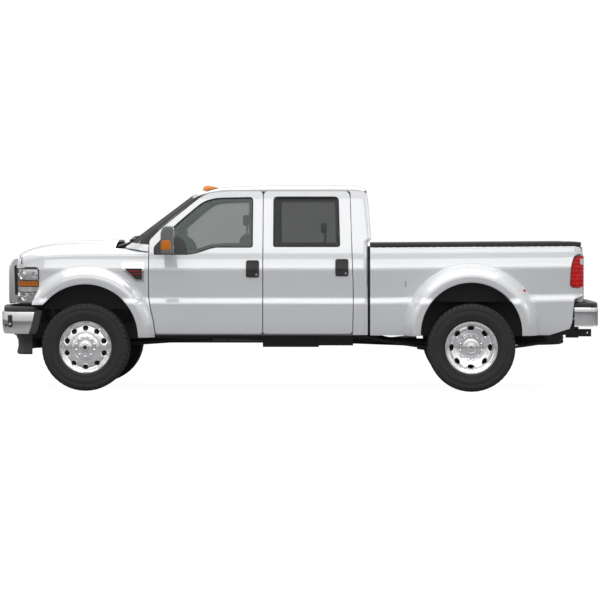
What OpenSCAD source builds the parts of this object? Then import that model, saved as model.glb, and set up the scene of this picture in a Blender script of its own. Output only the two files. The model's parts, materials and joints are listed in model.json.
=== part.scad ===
// Crew-cab pickup truck with twin rear wheels, built as an assembly.
// Millimetres. +X is forward, +Y is the truck's left, +Z is up.
// The origin is on the ground, under the middle of the truck.

/* [Stance] */
// Distance between the axles
wheelbase = 3967; // [3400:1:4800]
// Front axle to the front of the bumper
front_overhang = 968; // [900:1:1200]
// Rear axle to the back of the step bumper
rear_overhang = 1333; // [1200:1:1700]
// Height of the cab roof
roof_h = 2130; // [1900:1:2500]
// Width of the body at the lower feature line
body_w = 2030; // [1900:1:2450]

/* [Wheels] */
// Outer radius of a tyre
tyre_r = 450; // [370:1:480]
// Width of a tyre
tyre_w = 270; // [220:1:280]
// Radius of the rim's outer lip
rim_r = 272; // [250:1:290]
// Gap between the twin rear tyres
twin_gap = 40; // [30:1:60]

/* [Cab] */
// Front axle back to the front doors' front edge
door_front_back = 651; // [640:1:700]
// Length of a front door at the belt line
front_door_l = 1174; // [1000:1:1420]
// Length of a rear door
rear_door_l = 930; // [800:1:1100]
// Width of the corner panel behind the rear doors
corner_l = 150; // [120:1:220]
// Thickness of a door below the windows
door_t = 105; // [80:1:120]
// Thickness of a door's window frame
frame_t = 50; // [40:1:60]
// Gap between body panels
panel_gap = 9; // [7:1:10]
// Thickness of glass
glass_t = 6; // [4:1:8]

/* [Body] */
// Height of the arch lip's centre above the axle
arch_up = 105; // [80:1:130]
// Radius of the front wheel arch
front_arch_r = 544; // [520:1:580]
// Radius of the rear wheel arch
rear_arch_r = 518; // [510:1:560]
// Width of a flare, from its lip to the body side
flare_w = 182; // [150:1:200]
// How far the front flares stand out
front_flare_out = 112; // [90:1:130]
// How far the rear flares stand out
rear_flare_out = 215; // [190:1:230]
// Thickness of a body skin
skin_t = 14; // [10:1:20]
// Clear space between the cab and the bed
bed_gap = 26; // [20:1:40]

/* [Chassis] */
// Width of a frame rail
rail_w = 80; // [60:1:90]
// Height of a frame rail
rail_h = 170; // [140:1:180]
// Middle of the truck to the middle of a rail
rail_y = 430; // [400:1:450]
// Inside width and height of the hitch receiver
receiver_in = 64; // [50:1:64]
// Radius of the hitch pin's hole
hitch_pin_r = 8.5; // [8:0.1:9]
// Radius of the hitch ball's hole in the step bumper
ball_hole_r = 13; // [10:0.5:13]

/* [Hidden] */
$fn = 48;

// --- places along the truck ---
nose_x = (front_overhang + wheelbase + rear_overhang) / 2;
tail_x = -nose_x;
front_axle_x = nose_x - front_overhang;
rear_axle_x = front_axle_x - wheelbase;
door_front_x = front_axle_x - door_front_back;
door_mid_x = door_front_x - front_door_l;
door_rear_x = door_mid_x - rear_door_l;
cab_rear_x = door_rear_x - corner_l;
bed_front_x = cab_rear_x - bed_gap;
bed_rear_x = tail_x + 170;
fender_front_x = nose_x - 300;
hood_front_x = nose_x - 180;
hood_rear_x = front_axle_x - 290;
cowl_x = hood_rear_x - 14;

// --- heights ---
axle_z = tyre_r;
rocker_z = axle_z + 125;
ledge_low_z = axle_z + 444;
ledge_high_z = axle_z + 504;
shoulder_z = axle_z + 800;
belt_z = axle_z + 1024;
bed_top_z = axle_z + 1035;
hood_rear_z = axle_z + 1098;
hood_front_z = axle_z + 930;
window_top_z = roof_h - 134;
door_top_z = roof_h - 72;
floor_z = axle_z + 250;
floor_t = 45;
bed_floor_z = axle_z + 525;
bumper_top_z = axle_z + 425;
bumper_low_z = axle_z + 125;
front_arch = [front_axle_x, axle_z + arch_up];
rear_arch = [rear_axle_x, axle_z + arch_up + 45];

// --- widths ---
half_w = body_w / 2;
front_tyre_y = half_w - 65;
kingpin_y = front_tyre_y - 40;
twin_pitch = tyre_w + twin_gap;
outer_tyre_y = half_w + 60;
inner_tyre_y = outer_tyre_y - twin_pitch;
hood_half_w = half_w - 205;
wall_t = door_t + 55;
pillar_t = frame_t + 45;
seal_gap = 6;

// Outer half width of the body side at height z: a lower side, a feature
// line with a ledge, an upper side, and a cab top that leans inwards.
function side(z) = lookup(z, [
    [rocker_z - 60, half_w - 36], [rocker_z + 25, half_w - 16],
    [rocker_z + 180, half_w - 6], [ledge_low_z, half_w],
    [ledge_high_z, half_w - 30], [shoulder_z - 60, half_w - 26],
    [shoulder_z + 50, half_w - 36], [belt_z - 60, half_w - 56],
    [belt_z + 10, half_w - 78], [window_top_z, half_w - 226],
    [door_top_z, half_w - 252], [roof_h - 40, half_w - 300],
    [roof_h - 14, half_w - 400], [roof_h, 0]]);
side_heights = [rocker_z, rocker_z + 25, rocker_z + 180, ledge_low_z,
    ledge_high_z, shoulder_z - 60, shoulder_z + 50, belt_z - 60, belt_z + 10,
    window_top_z, door_top_z, roof_h - 42];

// Depth of the door layer, and of the whole cab wall, at height z.
function door_depth(z) = lookup(z, [[belt_z - 20, door_t], [belt_z + 40, frame_t]]);
function wall_depth(z) = lookup(z, [[belt_z - 20, wall_t], [belt_z + 40, pillar_t]]);

// How far a flare stands out at a point of the side, given its axle.
function flare_r(x, z, arch) = z > arch[1]
    ? norm([x - arch[0], z - arch[1]]) : abs(x - arch[0]);
function flare_share(r, arch_r) = let (t = (arch_r + flare_w - r) / (flare_w - 50))
    t <= 0 ? 0 : t >= 1 ? 1 : 1 - (1 - t) * (1 - t);
function flare(x, z, arch, arch_r, out) =
    out * flare_share(flare_r(x, z, arch), arch_r);

// --- general shapes ---
module both_sides() { children(); mirror([0, 1, 0]) children(); }

// A plate: an outline in X and Z, from y0 to y1.
module plate(outline, y0, y1) {
    translate([0, y1, 0]) rotate([90, 0, 0]) linear_extrude(y1 - y0)
        polygon(outline);
}

// A bar: an outline in Y and Z, from x0 to x1.
module bar(outline, x0, x1) {
    translate([x0, 0, 0]) rotate([90, 0, 90]) linear_extrude(x1 - x0)
        polygon(outline);
}

module block(low, high) { translate(low) cube(high - low); }

// A cylinder along Y between two values of y.
module rod_y(x, z, r, y0, y1) {
    translate([x, y1, z]) rotate([90, 0, 0]) cylinder(r = r, h = y1 - y0);
}

// A round bar from a to b.
module rod(a, b, r) {
    d = b - a;
    translate(a) rotate([0, acos(d[2] / norm(d)), atan2(d[1], d[0])])
        cylinder(r = r, h = norm(d));
}

// A closed shell between two grids of points, rows by columns.
function grid_faces(rows, cols, base, turn) = [
    for (i = [0:rows - 2], j = [0:cols - 2], k = [0, 1])
        let (a = base + i * cols + j, b = a + 1, c = a + cols, d = c + 1,
             tri = k == 0 ? [a, b, d] : [a, d, c])
            turn ? reversed(tri) : tri];
function rim_faces(edge, n) = [
    for (i = [0:len(edge) - 1], k = [0, 1])
        let (a = edge[i], b = edge[(i + 1) % len(edge)])
            k == 0 ? [a, b, a + n] : [b, b + n, a + n]];
module shell_between(outer, inner) {
    rows = len(outer);
    cols = len(outer[0]);
    n = rows * cols;
    edge = concat([for (j = [0:cols - 2]) j],
        [for (i = [0:rows - 2]) i * cols + cols - 1],
        [for (j = [cols - 1:-1:1]) (rows - 1) * cols + j],
        [for (i = [rows - 1:-1:1]) i * cols]);
    polyhedron(points = concat([for (r = outer) each r], [for (r = inner) each r]),
        faces = concat(grid_faces(rows, cols, 0, true),
            grid_faces(rows, cols, n, false), rim_faces(edge, n)));
}
function reversed(list) = [for (i = [len(list) - 1:-1:0]) list[i]];

// --- panels round a wheel arch ---
// Such a panel is a fan of rays from the arch's lip to the panel's outline.
// The outline is given along the truck, and up the skin from below.
function along(a, b, n) = [for (i = [0:n - 1]) a + (b - a) * i / n];
function lip_point(p, arch, r) = p[1] <= arch[1]
    ? [arch[0] + sign(p[0] - arch[0]) * r, p[1]]
    : arch + r * (p - arch) / norm(p - arch);
flare_steps = [0, 0.28, 0.4, 0.53, 0.67, 0.83, 1];
rest_steps = [0.22, 0.46, 0.72, 1];
all_steps = len(flare_steps) + len(rest_steps) - 1;
function ray(p, arch, r) = let (q = lip_point(p, arch, r), d = norm(p - q), u = (p - q) / d)
    d > flare_w * 1.2
    ? concat([for (f = flare_steps) q + u * flare_w * f],
        [for (f = rest_steps) q + u * (flare_w + (d - flare_w) * f)])
    : [for (j = [0:all_steps]) q + u * d * j / all_steps];

// Outline of a front door in X and Z. Its front edge follows the flare.
door_low_z = rocker_z + 12;
function door_edge_x(z) = door_front_x - lookup(z, [[door_low_z, 68],
    [rocker_z + 130, 52], [ledge_low_z, 14], [ledge_high_z + 10, 0]]);
front_door_outline = [
    [door_front_x, belt_z + 75], [door_front_x, ledge_high_z + 10],
    [door_edge_x(ledge_low_z), ledge_low_z], [door_edge_x(rocker_z + 130), rocker_z + 130],
    [door_edge_x(door_low_z), door_low_z], [door_mid_x + panel_gap / 2, door_low_z],
    [door_mid_x + panel_gap / 2, door_top_z],
    [door_mid_x + 420, door_top_z], [door_front_x - 560, door_top_z - 30],
    [door_front_x - 110, belt_z + 190]];
rear_door_outline = [
    [door_mid_x - panel_gap / 2, door_low_z], [door_mid_x - panel_gap / 2, door_top_z],
    [door_rear_x + 36, door_top_z], [door_rear_x, ledge_high_z + 20],
    [door_rear_x + 8, door_low_z]];
front_window_outline = [
    [door_front_x - 46, belt_z - 74], [door_front_x - 415, belt_z - 74],
    [door_front_x - 530, belt_z - 48], [door_front_x - 660, belt_z],
    [door_mid_x + 112, belt_z], [door_mid_x + 100, belt_z + 14],
    [door_mid_x + 100, window_top_z - 28], [door_mid_x + 128, window_top_z],
    [door_mid_x + 470, window_top_z - 8], [door_mid_x + 580, window_top_z - 34],
    [door_mid_x + 700, window_top_z - 104], [door_front_x - 258, belt_z + 232],
    [door_front_x - 120, belt_z + 90], [door_front_x - 46, belt_z + 8]];
rear_window_outline = [
    [door_mid_x - 116, belt_z + 6], [door_rear_x + 142, belt_z + 6],
    [door_rear_x + 130, belt_z + 22], [door_rear_x + 150, window_top_z - 20],
    [door_rear_x + 178, window_top_z + 8], [door_mid_x - 132, window_top_z + 8],
    [door_mid_x - 100, window_top_z - 24], [door_mid_x - 104, belt_z + 22]];

skin_edge = 18;
inner_inset = 32;
module grown(outline, by, y0, y1) {
    translate([0, y1, 0]) rotate([90, 0, 0]) linear_extrude(y1 - y0)
        offset(delta = by) polygon(outline);
}
function full_heights() = concat([rocker_z], [for (z = side_heights) if (z > rocker_z) z]);

module door_shape(outline, window) {
    difference() {
        union() {
            intersection() {
                bar(concat([for (z = side_heights) [side(z), z]],
                    [for (i = [len(side_heights) - 1:-1:0]) let (z = side_heights[i])
                        [side(z) - skin_edge, z]]), door_rear_x - 50, door_front_x + 50);
                plate(outline, 0, half_w + 10);
            }
            intersection() {
                bar(concat([for (z = side_heights) [side(z) - skin_edge, z]],
                    [for (i = [len(side_heights) - 1:-1:0]) let (z = side_heights[i])
                        [side(z) - door_depth(z), z]]), door_rear_x - 50, door_front_x + 50);
                grown(outline, -inner_inset, 0, half_w + 10);
            }
        }
        plate(window, 0, half_w + 10);
    }
}

// Glass that fills a window, set in from the skin by glass_in.
glass_in = 16;
glass_gap = 0.4;
module glass_shape(window) {
    intersection() {
        bar(concat([for (z = side_heights) [side(z) - glass_in, z]],
            [for (i = [len(side_heights) - 1:-1:0]) let (z = side_heights[i])
                [side(z) - glass_in - glass_t, z]]), door_rear_x, door_front_x);
        grown(window, -glass_gap, 0, half_w + 10);
    }
}

module front_door() { color("white") door_shape(front_door_outline, front_window_outline); }
module rear_door() { color("white") door_shape(rear_door_outline, rear_window_outline); }
module front_glass() { color("dimgray") glass_shape(front_window_outline); }
module rear_glass() { color("dimgray") glass_shape(rear_window_outline); }

// --- cab ---
screen_base_x = front_axle_x - 474;
screen_base_z = hood_rear_z + 2;
screen_top_x = front_axle_x - 1088;
screen_top_z = roof_h - 112;
firewall_x = door_front_x + 60;
wall_top = [for (z = [roof_h - 26, roof_h - 12]) [side(z), z]];
cab_section = concat([for (z = side_heights) [side(z), z]], wall_top, [[0, roof_h]],
    [for (i = [1:-1:0]) [-wall_top[i][0], wall_top[i][1]]],
    [for (i = [len(side_heights) - 1:-1:0]) let (z = side_heights[i]) [-side(z), z]]);
inner_heights = [for (z = side_heights) if (z < window_top_z + 10) z];
cab_inside = concat([[side(floor_z) - wall_t, floor_z + floor_t]],
    [for (z = inner_heights) if (z > floor_z + floor_t) [side(z) - wall_depth(z), z]],
    [[half_w - 400, roof_h - 60], [0, roof_h - 46], [-half_w + 400, roof_h - 60]],
    [for (i = [len(inner_heights) - 1:-1:0]) let (z = inner_heights[i])
        if (z > floor_z + floor_t) [-side(z) + wall_depth(z), z]],
    [[-side(floor_z) + wall_t, floor_z + floor_t]]);
cab_outline = [
    [cab_rear_x, rocker_z], [door_front_x - 40, rocker_z],
    [firewall_x, floor_z], [firewall_x, belt_z - 60], [screen_base_x - 10, screen_base_z - 62],
    [screen_base_x - 10, screen_base_z - 8], [screen_top_x, screen_top_z],
    [screen_top_x - 60, roof_h - 40], [screen_top_x - 190, roof_h + 1],
    [cab_rear_x + 90, roof_h + 1], [cab_rear_x + 30, roof_h - 24], [cab_rear_x + 4, roof_h - 80],
    [cab_rear_x - 38, belt_z + 84], [cab_rear_x, belt_z + 60]];
rear_wall_t = 60;
cabin_outline = [
    [cab_rear_x + rear_wall_t, floor_z + floor_t], [firewall_x - 50, floor_z + floor_t],
    [firewall_x - 50, belt_z - 110], [screen_base_x - 110, screen_base_z - 112],
    [screen_base_x - 100, screen_base_z - 62], [screen_top_x - 40, screen_top_z - 32],
    [screen_top_x - 160, roof_h - 40], [cab_rear_x + 70, roof_h - 40],
    [cab_rear_x + rear_wall_t - 38, belt_z + 84], [cab_rear_x + rear_wall_t, belt_z + 30]];
jamb_inset = 60;

module cab() {
    color("white") difference() {
        intersection() {
            bar(cab_section, cab_rear_x - 60, screen_base_x + 60);
            plate(cab_outline, -half_w, half_w);
        }
        intersection() {
            bar(cab_inside, cab_rear_x, screen_base_x);
            plate(cabin_outline, -half_w, half_w);
        }
        under_floor();
        both_sides() {
            door_recess(front_door_outline);
            door_recess(rear_door_outline);
            grown(front_door_outline, -jamb_inset, 300, half_w);
            grown(rear_door_outline, -jamb_inset, 300, half_w);
        }
        both_sides() behind_fender();
        windscreen_hole();
        rear_glass_hole();
    }
}
// The cab's sides stand back from the fenders' rear ends.
module behind_fender() {
    intersection() {
        bar(concat([for (z = full_heights()) [half_w + 10, z]],
            [for (i = [len(side_heights) - 1:-1:0]) let (z = side_heights[i])
                [side(z) - 40, z]]), door_front_x - 100, screen_base_x + 100);
        plate([[door_edge_x(rocker_z) - 10, rocker_z - 1],
            [door_edge_x(rocker_z + 130) - 10, rocker_z + 130],
            [door_edge_x(ledge_low_z) - 10, ledge_low_z], [door_front_x - 10, ledge_high_z + 10],
            [door_front_x - 10, belt_z + 6], [screen_base_x + 90, belt_z + 6],
            [screen_base_x + 90, rocker_z - 1]], 0, half_w + 20);
    }
    block([door_front_x - 10, hood_half_w - 10, belt_z - 90],
        [screen_base_x + 90, half_w + 20, belt_z + 6]);
}
// The room that a closed door needs, with its gap.
module door_recess(outline) {
    intersection() {
        bar(concat([for (z = full_heights()) [half_w + 10, z]],
            [for (i = [len(side_heights) - 1:-1:0]) let (z = side_heights[i])
                [side(z) - door_depth(z) - seal_gap, z]]), door_rear_x - 50, door_front_x + 60);
        grown(outline, panel_gap, 200, half_w + 10);
    }
}
// The cab floor stands above the sills.
module under_floor() {
    block([cab_rear_x - 1, -half_w + 200, 0], [door_front_x + 200, half_w - 200, floor_z]);
}
slope_deg = atan2(screen_top_z - screen_base_z, screen_base_x - screen_top_x);
screen_l = norm([screen_top_x - screen_base_x, screen_top_z - screen_base_z]);
// Windscreen outline along its own slope: u runs up the slope, v across.
function screen_half(u) = lookup(u, [[0, half_w - 185], [screen_l, half_w - 315]]);
module on_screen(deep, high, inset) {
    translate([screen_base_x, 0, screen_base_z]) rotate([0, slope_deg - 90, 0])
        rotate([0, 90, 0]) rotate([0, 0, 90]) translate([0, 0, deep])
        linear_extrude(high) polygon([
            [-screen_half(0) + inset, -40 + inset], [screen_half(0) - inset, -40 + inset],
            [screen_half(screen_l) - inset, screen_l - 20 - inset],
            [-screen_half(screen_l) + inset, screen_l - 20 - inset]]);
}
rear_glass_half = half_w - 340;
module windscreen_hole() { on_screen(-200, 400, 24); }
module rear_glass_hole() {
    block([cab_rear_x - 60, -rear_glass_half, belt_z + 106],
        [cab_rear_x + 100, rear_glass_half, roof_h - 150]);
}
rear_lean = atan2(42, roof_h - 80 - belt_z - 84);
module cab_glass() {
    color("dimgray") {
        on_screen(-30, glass_t, 25);
        translate([cab_rear_x - 16, 0, belt_z + 84]) rotate([0, rear_lean, 0])
            block([0, -rear_glass_half + 1, 24], [glass_t, rear_glass_half - 1,
                roof_h - 150 - belt_z - 88]);
    }
}

module dashboard() {
    dash_rear_x = door_front_x - 330;
    color("dimgray") plate([
        [firewall_x - 56, floor_z + 380], [dash_rear_x + 60, floor_z + 380],
        [dash_rear_x, floor_z + 560], [dash_rear_x + 30, belt_z - 90],
        [dash_rear_x + 110, belt_z - 70], [firewall_x - 56, belt_z - 116]],
        -half_w + wall_t + 75, half_w - wall_t - 75);
    color("dimgray") rod(wheel_at - 47 * wheel_axis, wheel_at - 190 * wheel_axis, 34);
}

// --- seats ---
module seat(x, y, w, back_h) {
    base_z = floor_z + floor_t + 12;
    cushion_z = base_z + 190;
    translate([x, y, 0]) {
        block([-60, -w / 2 + 40, floor_z + floor_t + 1], [360, w / 2 - 40, base_z + 60]);
        block([-60, -w / 2, base_z + 60], [460, w / 2, cushion_z + 130]);
        plate_y(back_h, cushion_z + 130, w);
    }
}
module plate_y(back_h, z, w) {
    plate([[-60, z], [60, z], [-40, z + back_h], [-130, z + back_h]], -w / 2, w / 2);
    plate([[-96, z + back_h], [-80, z + back_h], [-84, z + back_h + 60], [-100, z + back_h + 60]],
        -50, 50);
    plate([[-130, z + back_h + 50], [-55, z + back_h + 50], [-60, z + back_h + 190],
        [-125, z + back_h + 190]], -130, 130);
}
module seats() {
    color("dimgray") {
        both_sides() seat(door_mid_x + 270, 370, 540, 560);
        both_sides() seat(door_rear_x + 380, 360, 680, 480);
    }
}

// --- hood and front fenders ---
hood_cols = 20;
hood_rows = 14;
// Height of the hood's upper face, and its front edge, which bows forward.
function hood_bow(y) = 95 * pow(y / hood_half_w, 2);
function hood_x(u, y) = hood_rear_x + (hood_front_x - hood_bow(y) - hood_rear_x) * u;
function hood_z(u, y) = hood_rear_z - (hood_rear_z - hood_front_z) *
    (0.42 * u + 0.58 * pow(u, 5)) - 56 * pow(y / hood_half_w, 4) * (1 - 0.3 * u)
    - 14 * pow(y / hood_half_w, 2);
function hood_grid(down) = [for (i = [0:hood_rows]) [for (j = [0:hood_cols])
    let (u = 1 - pow(1 - i / hood_rows, 1.5), y = hood_half_w * (1 - 2 * j / hood_cols))
        [hood_x(u, y), y, hood_z(u, y) - down]]];
module hood() {
    color("white") shell_between(hood_grid(0), hood_grid(22));
}

// The fender's top edge along the hood, and its front edge, tucked in to the nose.
function fender_top(x) = let (u = (x - hood_rear_x) / (hood_front_x - 95 - hood_rear_x))
    hood_z(max(0, min(1, u)), hood_half_w) - 2;
shoulder_r = 90;
shoulder_l = 170;
function knee_z(x) = fender_top(x) - shoulder_r;
function nose_tuck(x) = let (t = max(0, (x - fender_front_x + 330) / 330)) 75 * t * t;
// A point of the fender's skin, at x and s, where s is the height up to the
// shoulder's start and then runs round the shoulder to the hood.
function fender_point(x, s, in) = let (knee = knee_z(x), z = min(s, knee),
    y_in = hood_half_w + 6, y = side(min(z, belt_z - 60)) - nose_tuck(x)
        + flare(x, z, front_arch, front_arch_r, front_flare_out),
    a = min(90, 90 * (s - knee) / shoulder_l))
    s <= knee ? [x, y - in, z]
    : [x, y_in + (y - y_in) * cos(a) - in * cos(a), knee + shoulder_r * sin(a) - in * sin(a)];
fender_rear_x = door_front_x + panel_gap;
fender_base_z = rocker_z - 24;
function fender_s(x) = knee_z(x) + shoulder_l;
fender_outline = concat(
    along([door_edge_x(fender_base_z) + panel_gap, fender_base_z],
        [door_edge_x(rocker_z + 130) + panel_gap, rocker_z + 130], 3),
    along([door_edge_x(rocker_z + 130) + panel_gap, rocker_z + 130],
        [door_edge_x(ledge_low_z) + panel_gap, ledge_low_z], 4),
    along([door_edge_x(ledge_low_z) + panel_gap, ledge_low_z],
        [fender_rear_x, ledge_high_z + 10], 2),
    along([fender_rear_x, ledge_high_z + 10], [fender_rear_x, fender_s(fender_rear_x)], 10),
    [for (p = along([fender_rear_x, 0], [fender_front_x, 0], 24)) [p[0], fender_s(p[0])]],
    along([fender_front_x, fender_s(fender_front_x)], [fender_front_x, bumper_top_z - 70], 9),
    [[fender_front_x, bumper_top_z - 70]]);
function panel_grid(outline, arch, r, point, in) = [for (p = outline)
    [for (q = ray(p, arch, r)) point(q[0], q[1], in)]];
module front_fender() {
    point = function (x, s, in) fender_point(x, s, in);
    // resize with zeros keeps the size, and gives the finished mesh as one solid
    resize([0, 0, 0]) difference() {
        shell_between(panel_grid(fender_outline, front_arch, front_arch_r, point, 0),
            panel_grid(fender_outline, front_arch, front_arch_r, point, skin_t));
        block([front_axle_x, half_w - 300, 0], [nose_x, half_w + 300, bumper_top_z + 12]);
        plate(lamp_outline, half_w - 300, half_w + 300);
    }
}
module front_fenders() { color("white") both_sides() front_fender(); }

lamp_outline = [[fender_front_x + 60, bumper_top_z + 10],
    [front_axle_x + front_arch_r - 20, bumper_top_z + 10],
    [fender_front_x - 175, bumper_top_z + 160], [fender_front_x - 182, hood_front_z - 126],
    [fender_front_x - 150, hood_front_z - 112], [fender_front_x + 60, hood_front_z - 112]];
module headlamps() {
    lamp_t = 90;
    color("silver") both_sides() difference() {
        bar([[hood_half_w - 170, bumper_top_z + 16], [half_w - 30, bumper_top_z + 16],
            [half_w - 42, hood_front_z - 130], [hood_half_w - 170, hood_front_z - 130]],
            fender_front_x - 168, fender_front_x + 78);
        // the back is hollow, and the outer corner is rounded off in plan
        block([0, 0, 0], [fender_front_x - 60, half_w - 90, roof_h]);
        plate([[fender_front_x - 200, 0], [fender_front_x - 110, 0],
            [fender_front_x - 150, bumper_top_z + 150], [fender_front_x - 200, bumper_top_z + 160]],
            0, half_w + 10);
        translate([0, 0, bumper_top_z]) linear_extrude(700) polygon([
            [fender_front_x - 40, half_w + 10], [fender_front_x - 40, half_w - 42],
            [fender_front_x + 40, half_w - 92], [fender_front_x + 90, half_w - 180],
            [fender_front_x + 110, half_w + 10]]);
        translate([0, 0, bumper_top_z]) linear_extrude(700) polygon([
            [fender_front_x - 200, half_w + 10], [fender_front_x - 200, half_w - 38],
            [fender_front_x - 40, half_w - 58], [fender_front_x - 39, half_w + 10]]);
    }
}

grille_half = hood_half_w - 180;
module grille() {
    gz0 = bumper_top_z + 16;
    gz1 = hood_front_z - 40;
    color("silver") difference() {
        translate([0, 0, gz0]) linear_extrude(gz1 - gz0) polygon([
            [nose_x - 200, -grille_half], [nose_x - 130, -grille_half],
            [nose_x - 92, -grille_half / 2], [nose_x - 84, 0], [nose_x - 92, grille_half / 2],
            [nose_x - 130, grille_half], [nose_x - 200, grille_half]]);
        // three rows of openings, each split by the middle
        for (row = [0:2], s = [-1, 1]) {
            z0 = gz0 + 46 + row * (gz1 - gz0 - 60) / 3;
            h = (gz1 - gz0 - 60) / 3 - 32;
            translate([0, 0, z0]) linear_extrude(h) polygon([
                [nose_x - 201, s * 36], [nose_x - 60, s * 36],
                [nose_x - 60, s * (grille_half - 44)], [nose_x - 201, s * (grille_half - 44)]]);
        }
    }
}

// The front bumper: a bowed bar with wings that reach back to the arches.
bumper_half = half_w - 6;
function bumper_front(y) = nose_x - 70 * pow(y / (bumper_half - 130), 2);
function bumper_plan(in) = concat(
    [for (k = [-8:8]) let (y = (bumper_half - 150) * k / 8) [bumper_front(y) - in, y]],
    [[nose_x - 150 - in * 0.7, bumper_half - 70 - in * 0.5],
     [nose_x - 230 - in * 0.3, bumper_half - 14 - in], [nose_x - 300, bumper_half - in],
     [front_axle_x + front_arch_r - 38, bumper_half - 4 - in]],
    [[front_axle_x + front_arch_r - 38, bumper_half - 48]],
    [[nose_x - 300, bumper_half - 60], [nose_x - 210, bumper_half - 110],
     [nose_x - 160, bumper_half - 240], [nose_x - 110, 0],
     [nose_x - 160, -bumper_half + 240], [nose_x - 210, -bumper_half + 110],
     [nose_x - 300, -bumper_half + 60], [front_axle_x + front_arch_r - 38, -bumper_half + 48]],
    [[front_axle_x + front_arch_r - 38, -bumper_half + 4 + in], [nose_x - 300, -bumper_half + in],
     [nose_x - 230 - in * 0.3, -bumper_half + 14 + in],
     [nose_x - 150 - in * 0.7, -bumper_half + 70 + in * 0.5]]);
module front_bumper() {
    color("silver") difference() {
        union() {
            translate([0, 0, bumper_low_z + 8]) linear_extrude(60) polygon(bumper_plan(18));
            translate([0, 0, bumper_low_z + 68]) linear_extrude(168) polygon(bumper_plan(0));
            translate([0, 0, bumper_low_z + 236]) linear_extrude(58) polygon(bumper_plan(14));
        }
        // the wings' lower rear corners are cut up to clear the tyres
        both_sides() plate([[front_axle_x + front_arch_r - 60, bumper_low_z],
            [front_axle_x + front_arch_r + 60, bumper_low_z],
            [front_axle_x + front_arch_r + 30, bumper_low_z + 140],
            [front_axle_x + front_arch_r - 60, bumper_low_z + 200]], half_w - 300, half_w);
    }
}
module front_valance() {
    top_z = bumper_low_z + 8;
    color("dimgray") {
        bar([[-half_w + 200, bumper_low_z - 160], [half_w - 200, bumper_low_z - 160],
            [half_w - 150, rail_low_z - 7], [-half_w + 150, rail_low_z - 7]],
            nose_x - 320, nose_x - 250);
        both_sides() plate([[nose_x - 410, bumper_low_z - 200], [nose_x - 300, bumper_low_z - 205],
            [nose_x - 250, bumper_low_z - 120], [nose_x - 238, bumper_low_z - 60],
            [nose_x - 190, top_z], [nose_x - 420, top_z]], half_w - 330, half_w - 140);
    }
}

// Half-round liners over the wheels. The front ones close the arch inside.
liner_in = half_w - 330;
liner_t = 8;
module liner_band(arch, r, y0, y1, low_z) {
    intersection() {
        difference() {
            rod_y(arch[0], arch[1], r + liner_t, y0, y1);
            rod_y(arch[0], arch[1], r, y0 - 1, y1 + 1);
        }
        block([arch[0] - r - 100, y0, low_z], [arch[0] + r + 100, y1, arch[1] + r + 100]);
    }
}
module wheel_liners() {
    front_r = front_arch_r + 5;
    rear_r = rear_arch_r + 5;
    wall_low_z = axle_z + 385;
    color("dimgray") both_sides() {
        liner_band(front_arch, front_r, liner_in, half_w + front_flare_out - 50, bumper_top_z + 20);
        intersection() {
            rod_y(front_arch[0], front_arch[1], front_r + 1, liner_in, liner_in + liner_t);
            block([front_axle_x - 600, liner_in, wall_low_z], [front_axle_x + 600, half_w, roof_h]);
        }
        liner_band(rear_arch, rear_r, bed_in_half + bed_sheet_t + 1, half_w + rear_flare_out - 52,
            rear_arch[1] - 10);
    }
}

module cowl_panel() {
    color("dimgray") plate([[screen_base_x + 4, screen_base_z - 34],
        [screen_base_x + 60, screen_base_z - 70], [cowl_x - 4, screen_base_z - 74],
        [cowl_x - 4, screen_base_z - 62], [screen_base_x + 64, screen_base_z - 56],
        [screen_base_x + 16, screen_base_z - 24]], -half_w + 225, half_w - 225);
}

module radiator() {
    color("dimgray") block([front_axle_x + 470, -rail_y + 20, axle_z + 245],
        [front_axle_x + 550, rail_y - 20, hood_front_z - 140]);
}

// --- bed ---
bed_in_half = half_w - 190;
bed_sheet_t = 25;
house_r = rear_arch_r + 24;
house_z = rear_arch[1] - 25;
house_in = inner_tyre_y - tyre_w / 2 - 50;
gate_t = 62;
gate_front_x = bed_rear_x + gate_t - 12;
module bed() {
    color("white") {
        difference() {
            union() {
                block([gate_front_x, -bed_in_half - bed_sheet_t, bed_floor_z - 60],
                    [bed_front_x, bed_in_half + bed_sheet_t, bed_floor_z]);
                block([bed_front_x - 40, -bed_in_half - bed_sheet_t, bed_floor_z - 60],
                    [bed_front_x, bed_in_half + bed_sheet_t, bed_top_z - 10]);
                both_sides() {
                    block([gate_front_x, bed_in_half, bed_floor_z - 60],
                        [bed_front_x, bed_in_half + bed_sheet_t, bed_top_z - 30]);
                    wheelhouse(house_r, house_in, bed_in_half + bed_sheet_t);
                    bed_post(bed_in_half + bed_sheet_t + 7, bed_floor_z - 60,
                        bed_top_z - bed_flange_t - 2);
                    bed_post(half_w - 98, bed_floor_z - 60, tail_lamp_low_z - 6);
                    bed_post(half_w - 142, tail_lamp_high_z + 6, bed_top_z - bed_flange_t - 2);
                }
            }
            both_sides() wheelhouse(house_r - 18, house_in + 18, half_w + 100);
        }
    }
}
// The bed's rear corner, behind the tailgate's end and round the tail lamp.
module bed_post(y1, z0, z1) {
    block([bed_corner_x + 2, bed_in_half + bed_sheet_t - 1, z0], [gate_front_x + 10, y1, z1]);
}
tail_lamp_low_z = bumper_top_z + 160;
tail_lamp_high_z = bumper_top_z + 512;
module wheelhouse(r, y0, y1) {
    intersection() {
        rod_y(rear_axle_x, house_z, r, y0, y1);
        block([rear_axle_x - r, y0, bed_floor_z - 60], [rear_axle_x + r, y1, house_z + r]);
    }
}

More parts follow.
